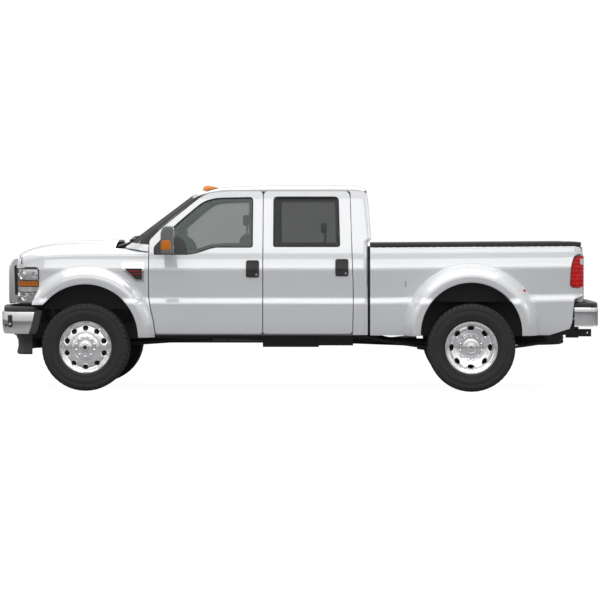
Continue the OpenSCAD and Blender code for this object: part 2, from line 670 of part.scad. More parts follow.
// The bed's outer side: a skin with a flare and a turned-in top.
bed_corner_x = bed_rear_x + 6;
bed_side_base_z = rocker_z - 4;
bed_side_top_z = bed_top_z - 4;
bed_flange_t = 14;
function bed_tuck(x) = let (t = max(0, (bed_corner_x + 110 - x) / 110)) 50 * t * t;
function bed_point(x, z, in) =
    [x, side(z) + flare(x, z, rear_arch, rear_arch_r, rear_flare_out) - bed_tuck(x) - in, z];
bed_side_outline = concat(
    along([bed_corner_x + 150, bed_side_base_z], [bed_corner_x, bumper_top_z + 110], 6),
    along([bed_corner_x, bumper_top_z + 110], [bed_corner_x, bed_side_top_z], 9),
    along([bed_corner_x, bed_side_top_z], [bed_front_x, bed_side_top_z], 30),
    along([bed_front_x, bed_side_top_z], [bed_front_x, bed_side_base_z], 12),
    [[bed_front_x, bed_side_base_z]]);
// The top of the side turns in to meet the bed's inner wall.
function bed_flange(z) = [for (x = along([bed_corner_x + 1, 0], [bed_front_x - 1, 0], 12))
    [[x[0], bed_in_half + bed_sheet_t + 2, z], [x[0], side(z) - bed_tuck(x[0]) - 3, z]]];
module bed_side() {
    point = function (x, z, in) bed_point(x, z, in);
    resize([0, 0, 0]) difference() {
        union() {
            shell_between(panel_grid(bed_side_outline, rear_arch, rear_arch_r, point, 0),
                panel_grid(bed_side_outline, rear_arch, rear_arch_r, point, skin_t));
            shell_between(reversed(bed_flange(bed_top_z)),
                reversed(bed_flange(bed_top_z - bed_flange_t)));
        }
        plate(tail_lamp_outline(4), half_w - 250, half_w + 200);
    }
}
module bed_sides() { color("white") both_sides() bed_side(); }

function tail_lamp_outline(by) = [[bed_corner_x - 20, tail_lamp_low_z - by],
    [bed_corner_x + 122 + by, tail_lamp_low_z - by], [bed_corner_x + 134 + by, tail_lamp_low_z + 30],
    [bed_corner_x + 122 + by, tail_lamp_high_z - 112], [bed_corner_x + 92, tail_lamp_high_z - 22],
    [bed_corner_x + 50, tail_lamp_high_z + by], [bed_corner_x - 20, tail_lamp_high_z + by]];
module tail_lamps() {
    color("firebrick") both_sides() intersection() {
        plate(tail_lamp_outline(0), 0, half_w);
        translate([0, 0, bumper_top_z]) linear_extrude(600) polygon([
            [bed_corner_x + 134, half_w - 31], [bed_corner_x + 60, half_w - 36],
            [bed_corner_x + 4, half_w - 66], [bed_corner_x - 18, half_w - 110],
            [bed_corner_x - 18, bed_in_half + bed_sheet_t + 8],
            [bed_corner_x + 40, bed_in_half + bed_sheet_t + 8],
            [bed_corner_x + 134, half_w - 90]]);
    }
}

gate_half = bed_in_half + bed_sheet_t - 6;
gate_low_z = bed_floor_z - 38;
module tailgate() {
    color("white") {
        difference() {
            block([bed_rear_x - 8, -gate_half, gate_low_z],
                [gate_front_x - panel_gap, gate_half, bed_top_z - 6]);
            // a recess for the latch handle
            block([bed_rear_x - 9, -110, bed_top_z - 150], [bed_rear_x + 14, 110, bed_top_z - 70]);
        }
    }
}

// --- rear bumper, hitch ---
rear_bumper_half = half_w - 12;
module rear_bumper() {
    low = bumper_low_z + 86;
    color("silver") difference() {
        union() {
            translate([0, 0, low]) linear_extrude(196) polygon(step_plan(0));
            translate([0, 0, low + 196]) linear_extrude(54) polygon(step_plan(14));
        }
        translate([0, 0, low - 1]) linear_extrude(150) polygon([
            [tail_x + 60, -320], [tail_x - 10, -320], [tail_x - 10, 320], [tail_x + 60, 320]]);
        // a pocket under the step, for the hitch ball's nut, and its hole
        block([tail_x + 30, -60, low - 1], [tail_x + 110, 60, low + 220]);
        translate([tail_x + 70, 0, low]) cylinder(r = ball_hole_r, h = 300);
    }
}
function step_plan(in) = [[tail_x + 126, -rear_bumper_half + in],
    [tail_x + 70, -rear_bumper_half + in + 4], [tail_x + 36 + in, -rear_bumper_half + 50 + in],
    [tail_x + 6 + in, -half_w + 260], [tail_x + in, -half_w + 420], [tail_x + in, half_w - 420],
    [tail_x + 6 + in, half_w - 260], [tail_x + 36 + in, rear_bumper_half - 50 - in],
    [tail_x + 70, rear_bumper_half - in - 4], [tail_x + 126, rear_bumper_half - in],
    [tail_x + 140, half_w - 130], [tail_x + 150, 0], [tail_x + 140, -half_w + 130]];

receiver_t = 7;
receiver_z = axle_z + 118;
receiver_out = receiver_in + 2 * receiver_t;
module hitch_receiver() {
    r0 = receiver_in / 2;
    r1 = receiver_out / 2;
    color("dimgray") difference() {
        union() {
            block([tail_x + 20, -r1, receiver_z - r1], [tail_x + 262, r1, receiver_z + r1]);
            difference() {
                rod_y(tail_x + 222, receiver_z, 38, -rail_y - 30, rail_y + 30);
                block([tail_x + 100, -r1 + 1, receiver_z - 60], [tail_x + 300, r1 - 1, receiver_z + 60]);
            }
            both_sides() block([tail_x + 184, rail_y - 10, receiver_z - 38],
                [tail_x + 320, rail_y + 2, rear_rail_z - 1]);
        }
        block([tail_x + 10, -r0, receiver_z - r0], [tail_x + 270, r0, receiver_z + r0]);
        rod_y(tail_x + 60, receiver_z, hitch_pin_r, -r1 - 1, r1 + 1);
    }
}

// --- frame ---
rail_low_z = axle_z + 70;
rear_rail_z = axle_z + 270;
rail_bend_x = cab_rear_x - 50;
rail_end_x = tail_x + 175;
cross_t = 60;
module frame() {
    color("dimgray") {
        both_sides() {
            plate([[nose_x - 165, rail_low_z + 40], [nose_x - 165, rail_low_z + rail_h],
                [rail_bend_x, rail_low_z + rail_h], [rail_bend_x - 300, rear_rail_z + rail_h - 6],
                [rail_end_x, rear_rail_z + rail_h - 6], [rail_end_x, rear_rail_z + 20],
                [rail_bend_x - 320, rear_rail_z], [rail_bend_x - 40, rail_low_z],
                [nose_x - 300, rail_low_z]], rail_y - rail_w / 2, rail_y + rail_w / 2);
            // pads that carry the cab and the bed
            for (x = [door_front_x - 150, door_mid_x, cab_rear_x + 120])
                translate([x, rail_y, rail_low_z + rail_h])
                    cylinder(r = 34, h = floor_z - rail_low_z - rail_h);
            for (x = [rear_axle_x + 500, rear_axle_x - 500, rail_end_x + 150])
                translate([x, rail_y, rear_rail_z + rail_h - 6])
                    cylinder(r = 34, h = bed_floor_z - 60 - rear_rail_z - rail_h + 6);
            spring_tower();
            for (x = [leaf_front, -leaf_rear]) spring_hanger(rear_axle_x + x);
        }
        for (x = [nose_x - 230, door_mid_x + 60, cab_rear_x + 70])
            block([x, -rail_y, rail_low_z + rail_h - cross_t - 4],
                [x + cross_t, rail_y, rail_low_z + rail_h - 4]);
        for (x = [rear_axle_x + 330, rear_axle_x - 260, rail_end_x + 20])
            block([x, -rail_y, rear_rail_z + rail_h - cross_t - 10],
                [x + cross_t, rail_y, rear_rail_z + rail_h - 10]);
    }
}
// Two cheeks that hold a leaf spring's eye, on a block beside the rail.
module spring_hanger(x) {
    for (s = [-1, 1]) plate([[x - 34, leaf_eye_z - 34], [x + 34, leaf_eye_z - 34],
        [x + 70, rear_rail_z + 60], [x - 70, rear_rail_z + 60]],
        leaf_y + s * (leaf_w / 2 + 1 + hanger_t / 2) - hanger_t / 2,
        leaf_y + s * (leaf_w / 2 + 1 + hanger_t / 2) + hanger_t / 2);
    block([x - 70, rail_y + rail_w / 2 - 2, rear_rail_z + 20],
        [x + 70, leaf_y + leaf_w / 2 + 1 + hanger_t, rear_rail_z + 60]);
}
spring_y = rail_y + 130;
tower_z = axle_z + 360;
module spring_tower() {
    block([front_axle_x - 210, rail_y + rail_w / 2 - 6, rail_low_z + 60],
        [front_axle_x + 110, rail_y + rail_w / 2 + 12, tower_z + 16]);
    block([front_axle_x - 210, rail_y + rail_w / 2 - 6, tower_z],
        [front_axle_x + 110, spring_y + 85, tower_z + 16]);
}

// --- axles ---
yoke_y = kingpin_y;
fork_h = 88;
fork_t = 24;
tube_r = 45;
kingpin_r = 20;
fit_gap = 0.05;
module front_axle() {
    diff_y = 235;
    color("dimgray") difference() {
        union() {
            rod_y(front_axle_x, axle_z, tube_r, -yoke_y + 55, yoke_y - 55);
            rod_y(front_axle_x, axle_z, 105, diff_y - 75, diff_y + 75);
            rod([front_axle_x - 60, diff_y, axle_z], [front_axle_x - 150, diff_y, axle_z], 34);
            both_sides() {
                translate([front_axle_x, spring_y, axle_z]) cylinder(r = 66, h = tube_r + 12);
                rod([front_axle_x - 130, spring_y, axle_z], [front_axle_x, spring_y, axle_z], 26);
                block([front_axle_x - 36, yoke_y - 64, axle_z - fork_h],
                    [front_axle_x + 36, yoke_y - 44, axle_z + fork_h]);
                for (z = [axle_z - fork_h, axle_z + fork_h - fork_t]) {
                    block([front_axle_x - 34, yoke_y - 64, z], [front_axle_x + 34, yoke_y, z + fork_t]);
                    translate([front_axle_x, yoke_y, z]) cylinder(r = 34, h = fork_t);
                }
            }
        }
        both_sides() translate([front_axle_x, yoke_y, axle_z - 200])
            cylinder(r = kingpin_r + fit_gap, h = 400);
    }
}

spindle_r = 30;
hub_r = 92;
front_hub_in = yoke_y + 48;
module knuckle() {
    color("dimgray") translate([front_axle_x, yoke_y, axle_z]) {
        block([-28, -24, -fork_h + fork_t + 1], [28, 30, fork_h - fork_t - 1]);
        translate([0, 0, -fork_h - 6]) cylinder(r = kingpin_r, h = 2 * fork_h + 12);
        rod([0, 20, 0], [0, front_tyre_y + 40 - yoke_y, 0], spindle_r);
        // the steering arm reaches back and in from the lower half
        block([-arm_l - 28, -14, -40], [-20, 14, -16]);
    }
}
arm_l = 140;
tie_x = front_axle_x - arm_l;
tie_z = axle_z - 56;
tie_pin_r = 9;
module arm_hole() {
    translate([tie_x, yoke_y, axle_z - 80]) cylinder(r = tie_pin_r + fit_gap, h = 100);
}
module left_knuckle() { difference() { knuckle(); arm_hole(); } }
module right_knuckle() {
    mirror([0, 1, 0]) difference() {
        knuckle();
        translate([tie_x, yoke_y, axle_z - 80]) cylinder(r = tie_pin_r + 1, h = 100);
    }
}
module tie_rod() {
    color("dimgray") {
        rod_y(tie_x, tie_z, 14, -yoke_y - 8, yoke_y + 8);
        both_sides() translate([tie_x, yoke_y, tie_z]) cylinder(r = tie_pin_r, h = 46);
    }
}

module rear_axle() {
    color("dimgray") {
        rod_y(rear_axle_x, axle_z, 55, -inner_tyre_y + 40, inner_tyre_y - 40);
        rod_y(rear_axle_x, axle_z, 165, -70, 70);
        rod([rear_axle_x + 100, 0, axle_z], [rear_axle_x + 250, 0, axle_z], 80);
        rod_y(rear_axle_x, axle_z, spindle_r, -outer_tyre_y + 60, outer_tyre_y - 60);
        both_sides() block([rear_axle_x - 80, leaf_y - leaf_w / 2 - 6, axle_z],
            [rear_axle_x + 80, leaf_y + leaf_w / 2 + 6, axle_z + 65]);
    }
}

// --- springs and dampers ---
leaf_rise = 70;
leaf_w = 70;
leaf_y = rail_y + rail_w / 2 + 45;
leaf_eye_r = 28;
leaf_eye_z = axle_z + 66 + leaf_rise + 17;
hanger_t = 10;
leaf_front = 640;
leaf_rear = 700;
function leaf_curve(up) = [for (k = [-8:8]) let (t = k / 8,
    x = rear_axle_x + (t > 0 ? leaf_front : leaf_rear) * t)
    [x, axle_z + 66 + up + leaf_rise * t * t]];
module suspension() {
    color("dimgray") both_sides() {
        // leaf pack with its eyes
        plate(concat(leaf_curve(34), reversed(leaf_curve(0))), leaf_y - leaf_w / 2, leaf_y + leaf_w / 2);
        for (x = [leaf_front, -leaf_rear])
            rod_y(rear_axle_x + x, leaf_eye_z, leaf_eye_r, leaf_y - leaf_w / 2, leaf_y + leaf_w / 2);
        // front coil, as the tube it turns in, and the damper behind it
        translate([front_axle_x, spring_y, axle_z + tube_r + 13]) difference() {
            cylinder(r = 64, h = tower_z - axle_z - tube_r - 14);
            translate([0, 0, -1]) cylinder(r = 44, h = 400);
        }
        rod([front_axle_x - 130, spring_y, axle_z + 27], [front_axle_x - 150, spring_y, tower_z - 8], 22);
        // rear damper
        rod([rear_axle_x - 12, 300, axle_z + 66], [rear_axle_x - 150, 300, rear_rail_z + 20], 24);
    }
}

// --- power train ---
engine_low_z = axle_z + 190;
module engine() {
    rear = door_front_x + 170;
    wall = firewall_x + 6;
    color("dimgray") {
        block([rear + 40, -300, engine_low_z], [front_axle_x + 400, 300, belt_z - 290]);
        block([wall, -190, axle_z + 30], [rear + 40, 190, floor_z + 110]);
        block([door_front_x - 620, -160, axle_z + 30], [wall, 160, floor_z - 12]);
        block([door_front_x - 780, -150, axle_z + 20], [door_front_x - 620, 290, floor_z - 60]);
    }
}
shaft_z = axle_z + 92;
module driveshafts() {
    rear_end = rear_axle_x + 252;
    color("dimgray") {
        rod([door_front_x - 784, 0, shaft_z], [rear_end + 6, 0, axle_z + 6], 42);
        rod([door_front_x - 618, 235, axle_z + 75], [front_axle_x - 152, 235, axle_z], 28);
    }
}
module exhaust() {
    z = axle_z + 30;
    y = -285;
    color("silver") {
        rod([door_front_x + 140, y, z], [rear_axle_x + 790, y, z], 32);
        rod([door_mid_x - 560, y, z], [door_mid_x + 40, y, z], 78);
        translate([rear_axle_x + 790, y, z]) sphere(r = 32);
        rod([rear_axle_x + 790, y, z], [rear_axle_x + 790 - 240, -half_w + 90, z], 32);
    }
}
module fuel_tank() {
    color("dimgray") block([cab_rear_x + 150, 75, axle_z - 6],
        [door_mid_x + 20, rail_y - rail_w / 2 - 14, axle_z + 165]);
}

// --- wheels ---
bead_gap = 0.5;
lip_clear = 5;
barrel_r = rim_r - 24;
barrel_t = 12;
// Tyre section, as radius and place across, with round shoulders.
function tyre_section() = let (w = tyre_w / 2, r0 = barrel_r + bead_gap, h = tyre_r - r0) concat(
    [[r0, -w + 34], [rim_r + lip_clear, -w + 16], [r0 + 0.3 * h, -w + 4], [r0 + 0.45 * h, -w],
     [r0 + 0.62 * h, -w + 3], [r0 + 0.8 * h, -w + 12], [tyre_r - 24, -w + 20], [tyre_r - 9, -w + 30],
     [tyre_r - 2, -w + 44], [tyre_r, -w + 70]],
    [[tyre_r, w - 70], [tyre_r - 2, w - 44], [tyre_r - 9, w - 30], [tyre_r - 24, w - 20],
     [r0 + 0.8 * h, w - 12], [r0 + 0.62 * h, w - 3], [r0 + 0.45 * h, w], [r0 + 0.3 * h, w - 4],
     [rim_r + lip_clear, w - 16], [r0, w - 34]]);
module tyre(y) {
    color("dimgray") translate([0, y, axle_z]) rotate([90, 0, 0])
        rotate_extrude($fn = 96) polygon(tyre_section());
}
// A rim centred on y, with its disc set towards +Y by disc_y. The disc's
// edge joins the barrel edge_y further out.
module rim(y, disc_y, edge_y, holes, hub_in, hub_out) {
    w = tyre_w / 2 - 17;
    translate([0, y, axle_z]) rotate([-90, 0, 0]) {
        rotate_extrude($fn = 96) polygon([
            [barrel_r - barrel_t, -w], [barrel_r, -w], [barrel_r, w], [barrel_r - barrel_t, w]]);
        for (s = [-1, 1]) rotate_extrude($fn = 96) polygon([
            [barrel_r - barrel_t, s * w], [rim_r, s * w], [rim_r, s * (w + 8)],
            [barrel_r - barrel_t, s * (w + 8)]]);
        difference() {
            rotate_extrude($fn = 96) polygon([[spindle_r + fit_gap, disc_y - 8],
                [150, disc_y - 8], [barrel_r - barrel_t + 2, disc_y + edge_y - 9],
                [barrel_r - barrel_t + 2, disc_y + edge_y + 9], [150, disc_y + 10],
                [spindle_r + fit_gap, disc_y + 10]]);
            for (k = [0:holes - 1]) rotate([0, 0, k * 360 / holes + 90])
                translate([188, 0, disc_y - 80]) cylinder(r = 20, h = 160);
        }
        rotate_extrude($fn = 96) polygon([[spindle_r + fit_gap, hub_in], [hub_r, hub_in],
            [hub_r, disc_y + 4], [hub_r - 30, hub_out - 20], [spindle_r + fit_gap, hub_out - 20]]);
        translate([0, 0, hub_out - 20]) cylinder(r = hub_r - 30, h = 20);
    }
}
front_disc = 92;
module front_rim() {
    color("silver") translate([front_axle_x, 0, 0])
        rim(front_tyre_y, front_disc, -21, 10, front_hub_in - front_tyre_y, front_disc + 62);
}
module front_tyre() { translate([front_axle_x, 0, 0]) tyre(front_tyre_y); }
twin_disc = -twin_pitch / 2 + 48;
module rear_rims() {
    color("silver") translate([rear_axle_x, 0, 0]) {
        rim(outer_tyre_y, twin_disc, 30, 8, twin_disc - 128, twin_disc + 140);
        rim_inner();
    }
}
// The inner rim carries no hub: it sits on the outer one's hub.
module rim_inner() {
    w = tyre_w / 2 - 17;
    d = twin_pitch / 2 - 70;
    translate([0, inner_tyre_y, axle_z]) rotate([-90, 0, 0]) {
        rotate_extrude($fn = 96) polygon([
            [barrel_r - barrel_t, -w], [barrel_r, -w], [barrel_r, w], [barrel_r - barrel_t, w]]);
        for (s = [-1, 1]) rotate_extrude($fn = 96) polygon([
            [barrel_r - barrel_t, s * w], [rim_r, s * w], [rim_r, s * (w + 8)],
            [barrel_r - barrel_t, s * (w + 8)]]);
        rotate_extrude($fn = 96) polygon([[hub_r - 1, d - 8], [barrel_r - barrel_t + 2, d - 8],
            [barrel_r - barrel_t + 2, d + 8], [hub_r - 1, d + 8]]);
    }
}
module rear_tyres() {
    translate([rear_axle_x, 0, 0]) { tyre(outer_tyre_y); tyre(inner_tyre_y); }
}
spare_r = tyre_r - 30;
module spare_wheel() {
    x = rear_axle_x - 180 - spare_r;
    translate([x, 0, axle_z + 112]) {
        color("dimgray") rotate_extrude($fn = 96) polygon([
            [barrel_r - 30, -100], [barrel_r, -112], [spare_r - 30, -112], [spare_r, -84],
            [spare_r, 84], [spare_r - 30, 112], [barrel_r, 112], [barrel_r - 30, 100]]);
        color("silver") rotate_extrude($fn = 96) polygon([
            [60, -30], [barrel_r - 29, -50], [barrel_r - 29, 50], [60, 30]]);
    }
}

// --- steering wheel ---
wheel_tilt = 62;
wheel_at = [door_front_x - 470, 370, belt_z - 120];
wheel_axis = [-sin(wheel_tilt), 0, cos(wheel_tilt)];
module steering_wheel() {
    color("dimgray") translate(wheel_at) rotate([0, -wheel_tilt, 0]) {
        rotate_extrude() translate([185, 0]) circle(r = 15);
        for (a = [90, 210, 330]) rotate([0, 0, a]) block([20, -16, -10], [178, 16, 6]);
        translate([0, 0, -46]) cylinder(r = 52, h = 50);
    }
}

// --- mirrors ---
module mirror_shape() {
    x = door_front_x - 200;
    color("dimgray") {
        // foot on the door, two arms, and the head
        plate([[x - 60, belt_z - 66], [x + 90, belt_z - 66], [x + 90, belt_z + 40], [x - 60, belt_z + 100]],
            side(belt_z - 60) + 2, side(belt_z - 60) + 26);
        for (z = [belt_z - 40, belt_z + 40])
            block([x - 16, side(belt_z - 60) + 20, z - 14], [x + 16, half_w + 80, z + 14]);
        difference() {
            block([x - 74, half_w + 78, belt_z - 70], [x + 66, half_w + 310, belt_z + 222]);
            translate([x, half_w + 194, belt_z + 76]) both_ends();
        }
    }
}
// The head's front corners are cut back.
module both_ends() {
    for (s = [-1, 1]) rotate([0, 0, s * 28]) translate([152, 0, 0]) cube([200, 500, 600], center = true);
}

frame();
front_axle();
rear_axle();
suspension();
driveshafts();
engine();
radiator();
exhaust();
fuel_tank();
front_bumper();
front_valance();
grille();
headlamps();
front_fenders();
wheel_liners();
cab();
cab_glass();
dashboard();
seats();
cowl_panel();
bed();
bed_sides();
rear_bumper();
tail_lamps();
hitch_receiver();
spare_wheel();
hood();
tailgate();
steering_wheel();
tie_rod();
left_knuckle();
right_knuckle();
front_tyre();  // front_left_tyre
mirror([0, 1, 0]) front_tyre();  // front_right_tyre
front_rim();  // front_left_rim
mirror([0, 1, 0]) front_rim();  // front_right_rim
rear_tyres();  // rear_left_tyres
mirror([0, 1, 0]) rear_tyres();  // rear_right_tyres
rear_rims();  // rear_left_rims
mirror([0, 1, 0]) rear_rims();  // rear_right_rims
front_door();  // front_left_door
mirror([0, 1, 0]) front_door();  // front_right_door
rear_door();  // rear_left_door
mirror([0, 1, 0]) rear_door();  // rear_right_door
front_glass();  // front_left_glass
mirror([0, 1, 0]) front_glass();  // front_right_glass
rear_glass();  // rear_left_glass
mirror([0, 1, 0]) rear_glass();  // rear_right_glass
mirror_shape();  // left_mirror
mirror([0, 1, 0]) mirror_shape();  // right_mirror
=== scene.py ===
# %% [markdown]
# A crew-cab pickup with twin rear wheels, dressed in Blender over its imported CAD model.
# The CAD model is loaded first and stays where it is: it gives every place and size below.
# Each visible piece is then a surface worked out with numpy, laid over the CAD piece it stands for.

# %% Load the frame
import json
import math
import bpy
import numpy as np
from mathutils import Matrix, Vector
from mathutils.geometry import delaunay_2d_cdt


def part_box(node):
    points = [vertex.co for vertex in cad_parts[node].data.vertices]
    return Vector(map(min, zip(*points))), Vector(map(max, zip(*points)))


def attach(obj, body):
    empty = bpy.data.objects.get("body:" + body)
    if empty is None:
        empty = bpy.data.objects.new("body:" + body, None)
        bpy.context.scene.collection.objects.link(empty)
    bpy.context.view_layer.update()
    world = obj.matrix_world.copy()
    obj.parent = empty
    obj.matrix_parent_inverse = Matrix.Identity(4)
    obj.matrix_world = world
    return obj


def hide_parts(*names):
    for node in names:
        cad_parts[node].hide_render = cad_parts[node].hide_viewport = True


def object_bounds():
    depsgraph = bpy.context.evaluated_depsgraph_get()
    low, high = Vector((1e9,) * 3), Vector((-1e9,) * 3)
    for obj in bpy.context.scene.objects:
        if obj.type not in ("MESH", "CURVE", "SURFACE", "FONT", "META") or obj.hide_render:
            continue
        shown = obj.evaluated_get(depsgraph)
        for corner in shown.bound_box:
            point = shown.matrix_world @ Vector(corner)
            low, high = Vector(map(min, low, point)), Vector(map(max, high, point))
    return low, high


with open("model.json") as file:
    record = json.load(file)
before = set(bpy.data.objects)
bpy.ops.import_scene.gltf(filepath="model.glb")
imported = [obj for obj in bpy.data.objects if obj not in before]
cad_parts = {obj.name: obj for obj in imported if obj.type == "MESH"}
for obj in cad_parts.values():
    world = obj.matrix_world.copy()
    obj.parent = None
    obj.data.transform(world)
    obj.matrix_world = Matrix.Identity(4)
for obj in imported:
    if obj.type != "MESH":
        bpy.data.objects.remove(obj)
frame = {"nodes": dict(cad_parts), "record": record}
cad_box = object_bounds()
JOINT = {j["name"]: np.array(j["pos_m"]) * 1000 for j in frame["record"]["behaviour"]["joints"]}
print("CAD box in mm:", [[round(c * 1000) for c in corner] for corner in cad_box])

# %% [markdown]
# Lengths are easier to read in millimetres, as a body shop gives them, so every shape is worked
# out in millimetres and turned into metres when its mesh is made. The main places come from the
# joints and the boxes of the CAD pieces.

# %% Main places, in millimetres
def cad(node):
    """Lowest and highest corner of a CAD node, in millimetres."""
    low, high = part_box(node)
    return np.array(low) * 1000, np.array(high) * 1000

nose_x = cad_box[1].x * 1000
tail_x = cad_box[0].x * 1000
roof_z = cad("cab")[1][2]
front_x, _, axle_z = JOINT["front_left_spin"]
rear_x = JOINT["rear_left_spin"][0]
half_w = JOINT["front_left_door_hinge"][1]
tyre_r = axle_z
front_tyre_y = JOINT["front_left_spin"][1]
twin_y = float(sum(cad("rear_left_tyres"))[1]) / 2
door_front = front_x - 651
door_mid = cad("rear_left_door")[1][0] + 4.5
door_rear = cad("rear_left_door")[0][0]
cab_rear = door_rear - 150
bed_front = cab_rear - 26
bed_rear = tail_x + 176
belt_z = axle_z + 1024
shoulder_z = axle_z + 800
bed_top = axle_z + 1035
rocker_z = axle_z + 125
hood_rear_x = cad("hood")[0][0]
hood_front_x = cad("hood")[1][0]
hood_half = cad("hood")[1][1]
hood_z0 = axle_z + 1098
hood_z1 = axle_z + 930
bumper_top = axle_z + 425
fender_front = nose_x - 300
front_arch = np.array([front_x, axle_z + 105])
rear_arch = np.array([rear_x, axle_z + 150])
front_arch_r, rear_arch_r = 544.0, 518.0
print("axles at", front_x, rear_x, "doors from", door_front, "to", round(door_rear), "bed to", bed_rear)

# %% [markdown]
# The camera stands thirty metres off the truck's left side, at a person's eye height, with a long
# lens: that keeps the two sides of the truck almost the same size. It is turned a little down and
# forward instead of being shifted, so that the other views stay simple.

# %% Camera
camera_data = bpy.data.cameras.new("side_camera")
camera_data.lens = 174.6
camera_data.sensor_width = 36.0
camera_data.clip_end = 200.0
camera = bpy.data.objects.new("side_camera", camera_data)
bpy.context.scene.collection.objects.link(camera)
camera.location = (-0.645, 30.95, 1.60)
aim = Vector((-0.044, 1.05, 0.937))
camera.rotation_euler = (aim - camera.location).to_track_quat("-Z", "Y").to_euler()
bpy.context.scene.camera = camera
print("camera", [round(c, 2) for c in camera.location])

# %% [markdown]
# The light is that of a bright overcast day in a studio: a big soft panel overhead, a low even
# world, and long soft panels at each side whose reflections run along the shoulders. The world
# and the floor are plain white to the eye, through Light Path, while the light that they give
# the truck stays lower, so white paint keeps its shading.

# %% Lights, world and floor
def panel_light(name, place, target, size, power):
    """A soft rectangle of light at place, turned to face target; size in metres, power in watts."""
    data = bpy.data.lights.new(name, "AREA")
    data.shape = "RECTANGLE"
    data.size, data.size_y = size
    data.energy = power
    lamp = bpy.data.objects.new(name, data)
    bpy.context.scene.collection.objects.link(lamp)
    lamp.location = place
    lamp.rotation_euler = (Vector(target) - Vector(place)).to_track_quat("-Z", "Y").to_euler()
    return lamp

panel_light("overhead_panel", (0, 0, 7.5), (0, 0, 0), (11, 10), 560)
panel_light("left_panel", (0, 9.0, 6.2), (0, 0, 1.0), (12, 2.2), 135)
panel_light("right_panel", (0, -9.0, 6.2), (0, 0, 1.0), (12, 2.2), 135)
panel_light("front_panel", (11.0, 0, 5.0), (0, 0, 1.0), (5, 2.5), 60)
panel_light("rear_panel", (-11.0, 0, 5.0), (0, 0, 1.0), (5, 2.5), 60)

# %% [markdown]
# Finishes are built from shader nodes. Two small helpers keep that readable: Value wraps one
# output, so that sums on it are plain Python, and Finish makes any other node from its type, its
# settings and its inputs.

# %% The two shader helpers
def operator(operation, swapped=False):
    """One arithmetic method: it adds a Math node for the operation."""
    def method(self, *others):
        """The node's output; swapped puts the other values first."""
        values = (*others, self) if swapped else (self, *others)
        return self.math(operation, *values)
    return method


class Value:
    """One shader output that takes part in sums: each operator adds one Math node."""

    def __init__(self, finish, socket):
        self.finish, self.socket = finish, socket

    def math(self, operation, *values):
        """The output of one Math node fed with the values."""
        return self.finish.node("ShaderNodeMath", {"operation": operation}, dict(enumerate(values)))

    __add__ = operator("ADD")
    __radd__ = operator("ADD", True)
    __sub__ = operator("SUBTRACT")
    __rsub__ = operator("SUBTRACT", True)
    __mul__ = operator("MULTIPLY")
    __rmul__ = operator("MULTIPLY", True)
    __truediv__ = operator("DIVIDE")
    __pow__ = operator("POWER")
    __lt__ = operator("LESS_THAN")
    __gt__ = operator("GREATER_THAN")
    sine = operator("SINE")
    absolute = operator("ABSOLUTE")
    most = operator("MAXIMUM")
    least = operator("MINIMUM")


class Finish:
    """A material under construction; node() adds one node and gives back one of its outputs."""

    def __init__(self, name):
        self.material = bpy.data.materials.new(name)
        self.material.use_nodes = True
        self.tree = self.material.node_tree
        self.tree.nodes.clear()

    def node(self, kind, settings=None, inputs=None, output=0):
        """Adds a node: its settings first, then the values or links of its sockets."""
        made = self.tree.nodes.new(kind)
        for key, value in (settings or {}).items():
            if key == "stops":
                ramp = made.color_ramp.elements
                for i, (place, colour) in enumerate(value):
                    stop = ramp[i] if i < 2 else ramp.new(place)
                    stop.position, stop.color = place, (*colour, 1.0)
            else:
                setattr(made, key, value)
        for key, value in (inputs or {}).items():
            if isinstance(value, Value):
                self.tree.links.new(value.socket, made.inputs[key])
            elif value is not None:
                made.inputs[key].default_value = value
        return Value(self, made.outputs[output]) if made.outputs else made

    def place(self):
        """The place on the piece, in metres."""
        return self.node("ShaderNodeTexCoord", output="Object")

    def noise(self, scale, detail=3.0, vector=None, output="Fac"):
        """A soft random pattern with about scale patches to the metre."""
        return self.node("ShaderNodeTexNoise", None,
                         {"Vector": vector or self.place(), "Scale": scale, "Detail": detail}, output)

    def mix(self, factor, a, b):
        """Colour a where factor is 0, b where it is 1."""
        return self.node("ShaderNodeMix", {"data_type": "RGBA"},
                         {"Factor": factor, 6: a, 7: b}, 2)

    def bump(self, height, strength, distance):
        """A normal tilted by the slope of a height."""
        return self.node("ShaderNodeBump", None,
                         {"Strength": strength, "Distance": distance, "Height": height})

    def surface(self, **inputs):
        """The Principled shader that every finish ends in; keys use _ for spaces."""
        shader = self.node("ShaderNodeBsdfPrincipled", None,
                           {key.replace("_", " "): value for key, value in inputs.items()})
        return self.end(shader)

    def end(self, shader):
        """Connects the shader to the output and gives the material back."""
        self.node("ShaderNodeOutputMaterial", None, {"Surface": shader})
        return self.material


def rgb(r, g, b):
    """A colour as a socket takes it."""
    return (r, g, b, 1.0)

# %% Floor and world
def white_to_the_eye(finish):
    """1 for rays that are seen, straight or through glass."""
    path = finish.tree.nodes.new("ShaderNodeLightPath")
    seen = [Value(finish, path.outputs[key])
            for key in ("Is Camera Ray", "Is Transmission Ray")]
    return (seen[0] + seen[1]).least(1.0)

def floor_finish():
    """A pale floor: what is seen of it is lifted to white, and it keeps the truck's shadow."""
    f = Finish("studio_floor")
    lit = f.node("ShaderNodeBsdfDiffuse", None, {"Color": rgb(0.40, 0.40, 0.41)})
    glow = f.node("ShaderNodeEmission", None, {"Color": rgb(1, 1, 1), "Strength": 1.38})
    return f.end(f.node("ShaderNodeMixShader", None,
                        {0: white_to_the_eye(f) * 0.7, 1: lit, 2: glow}))

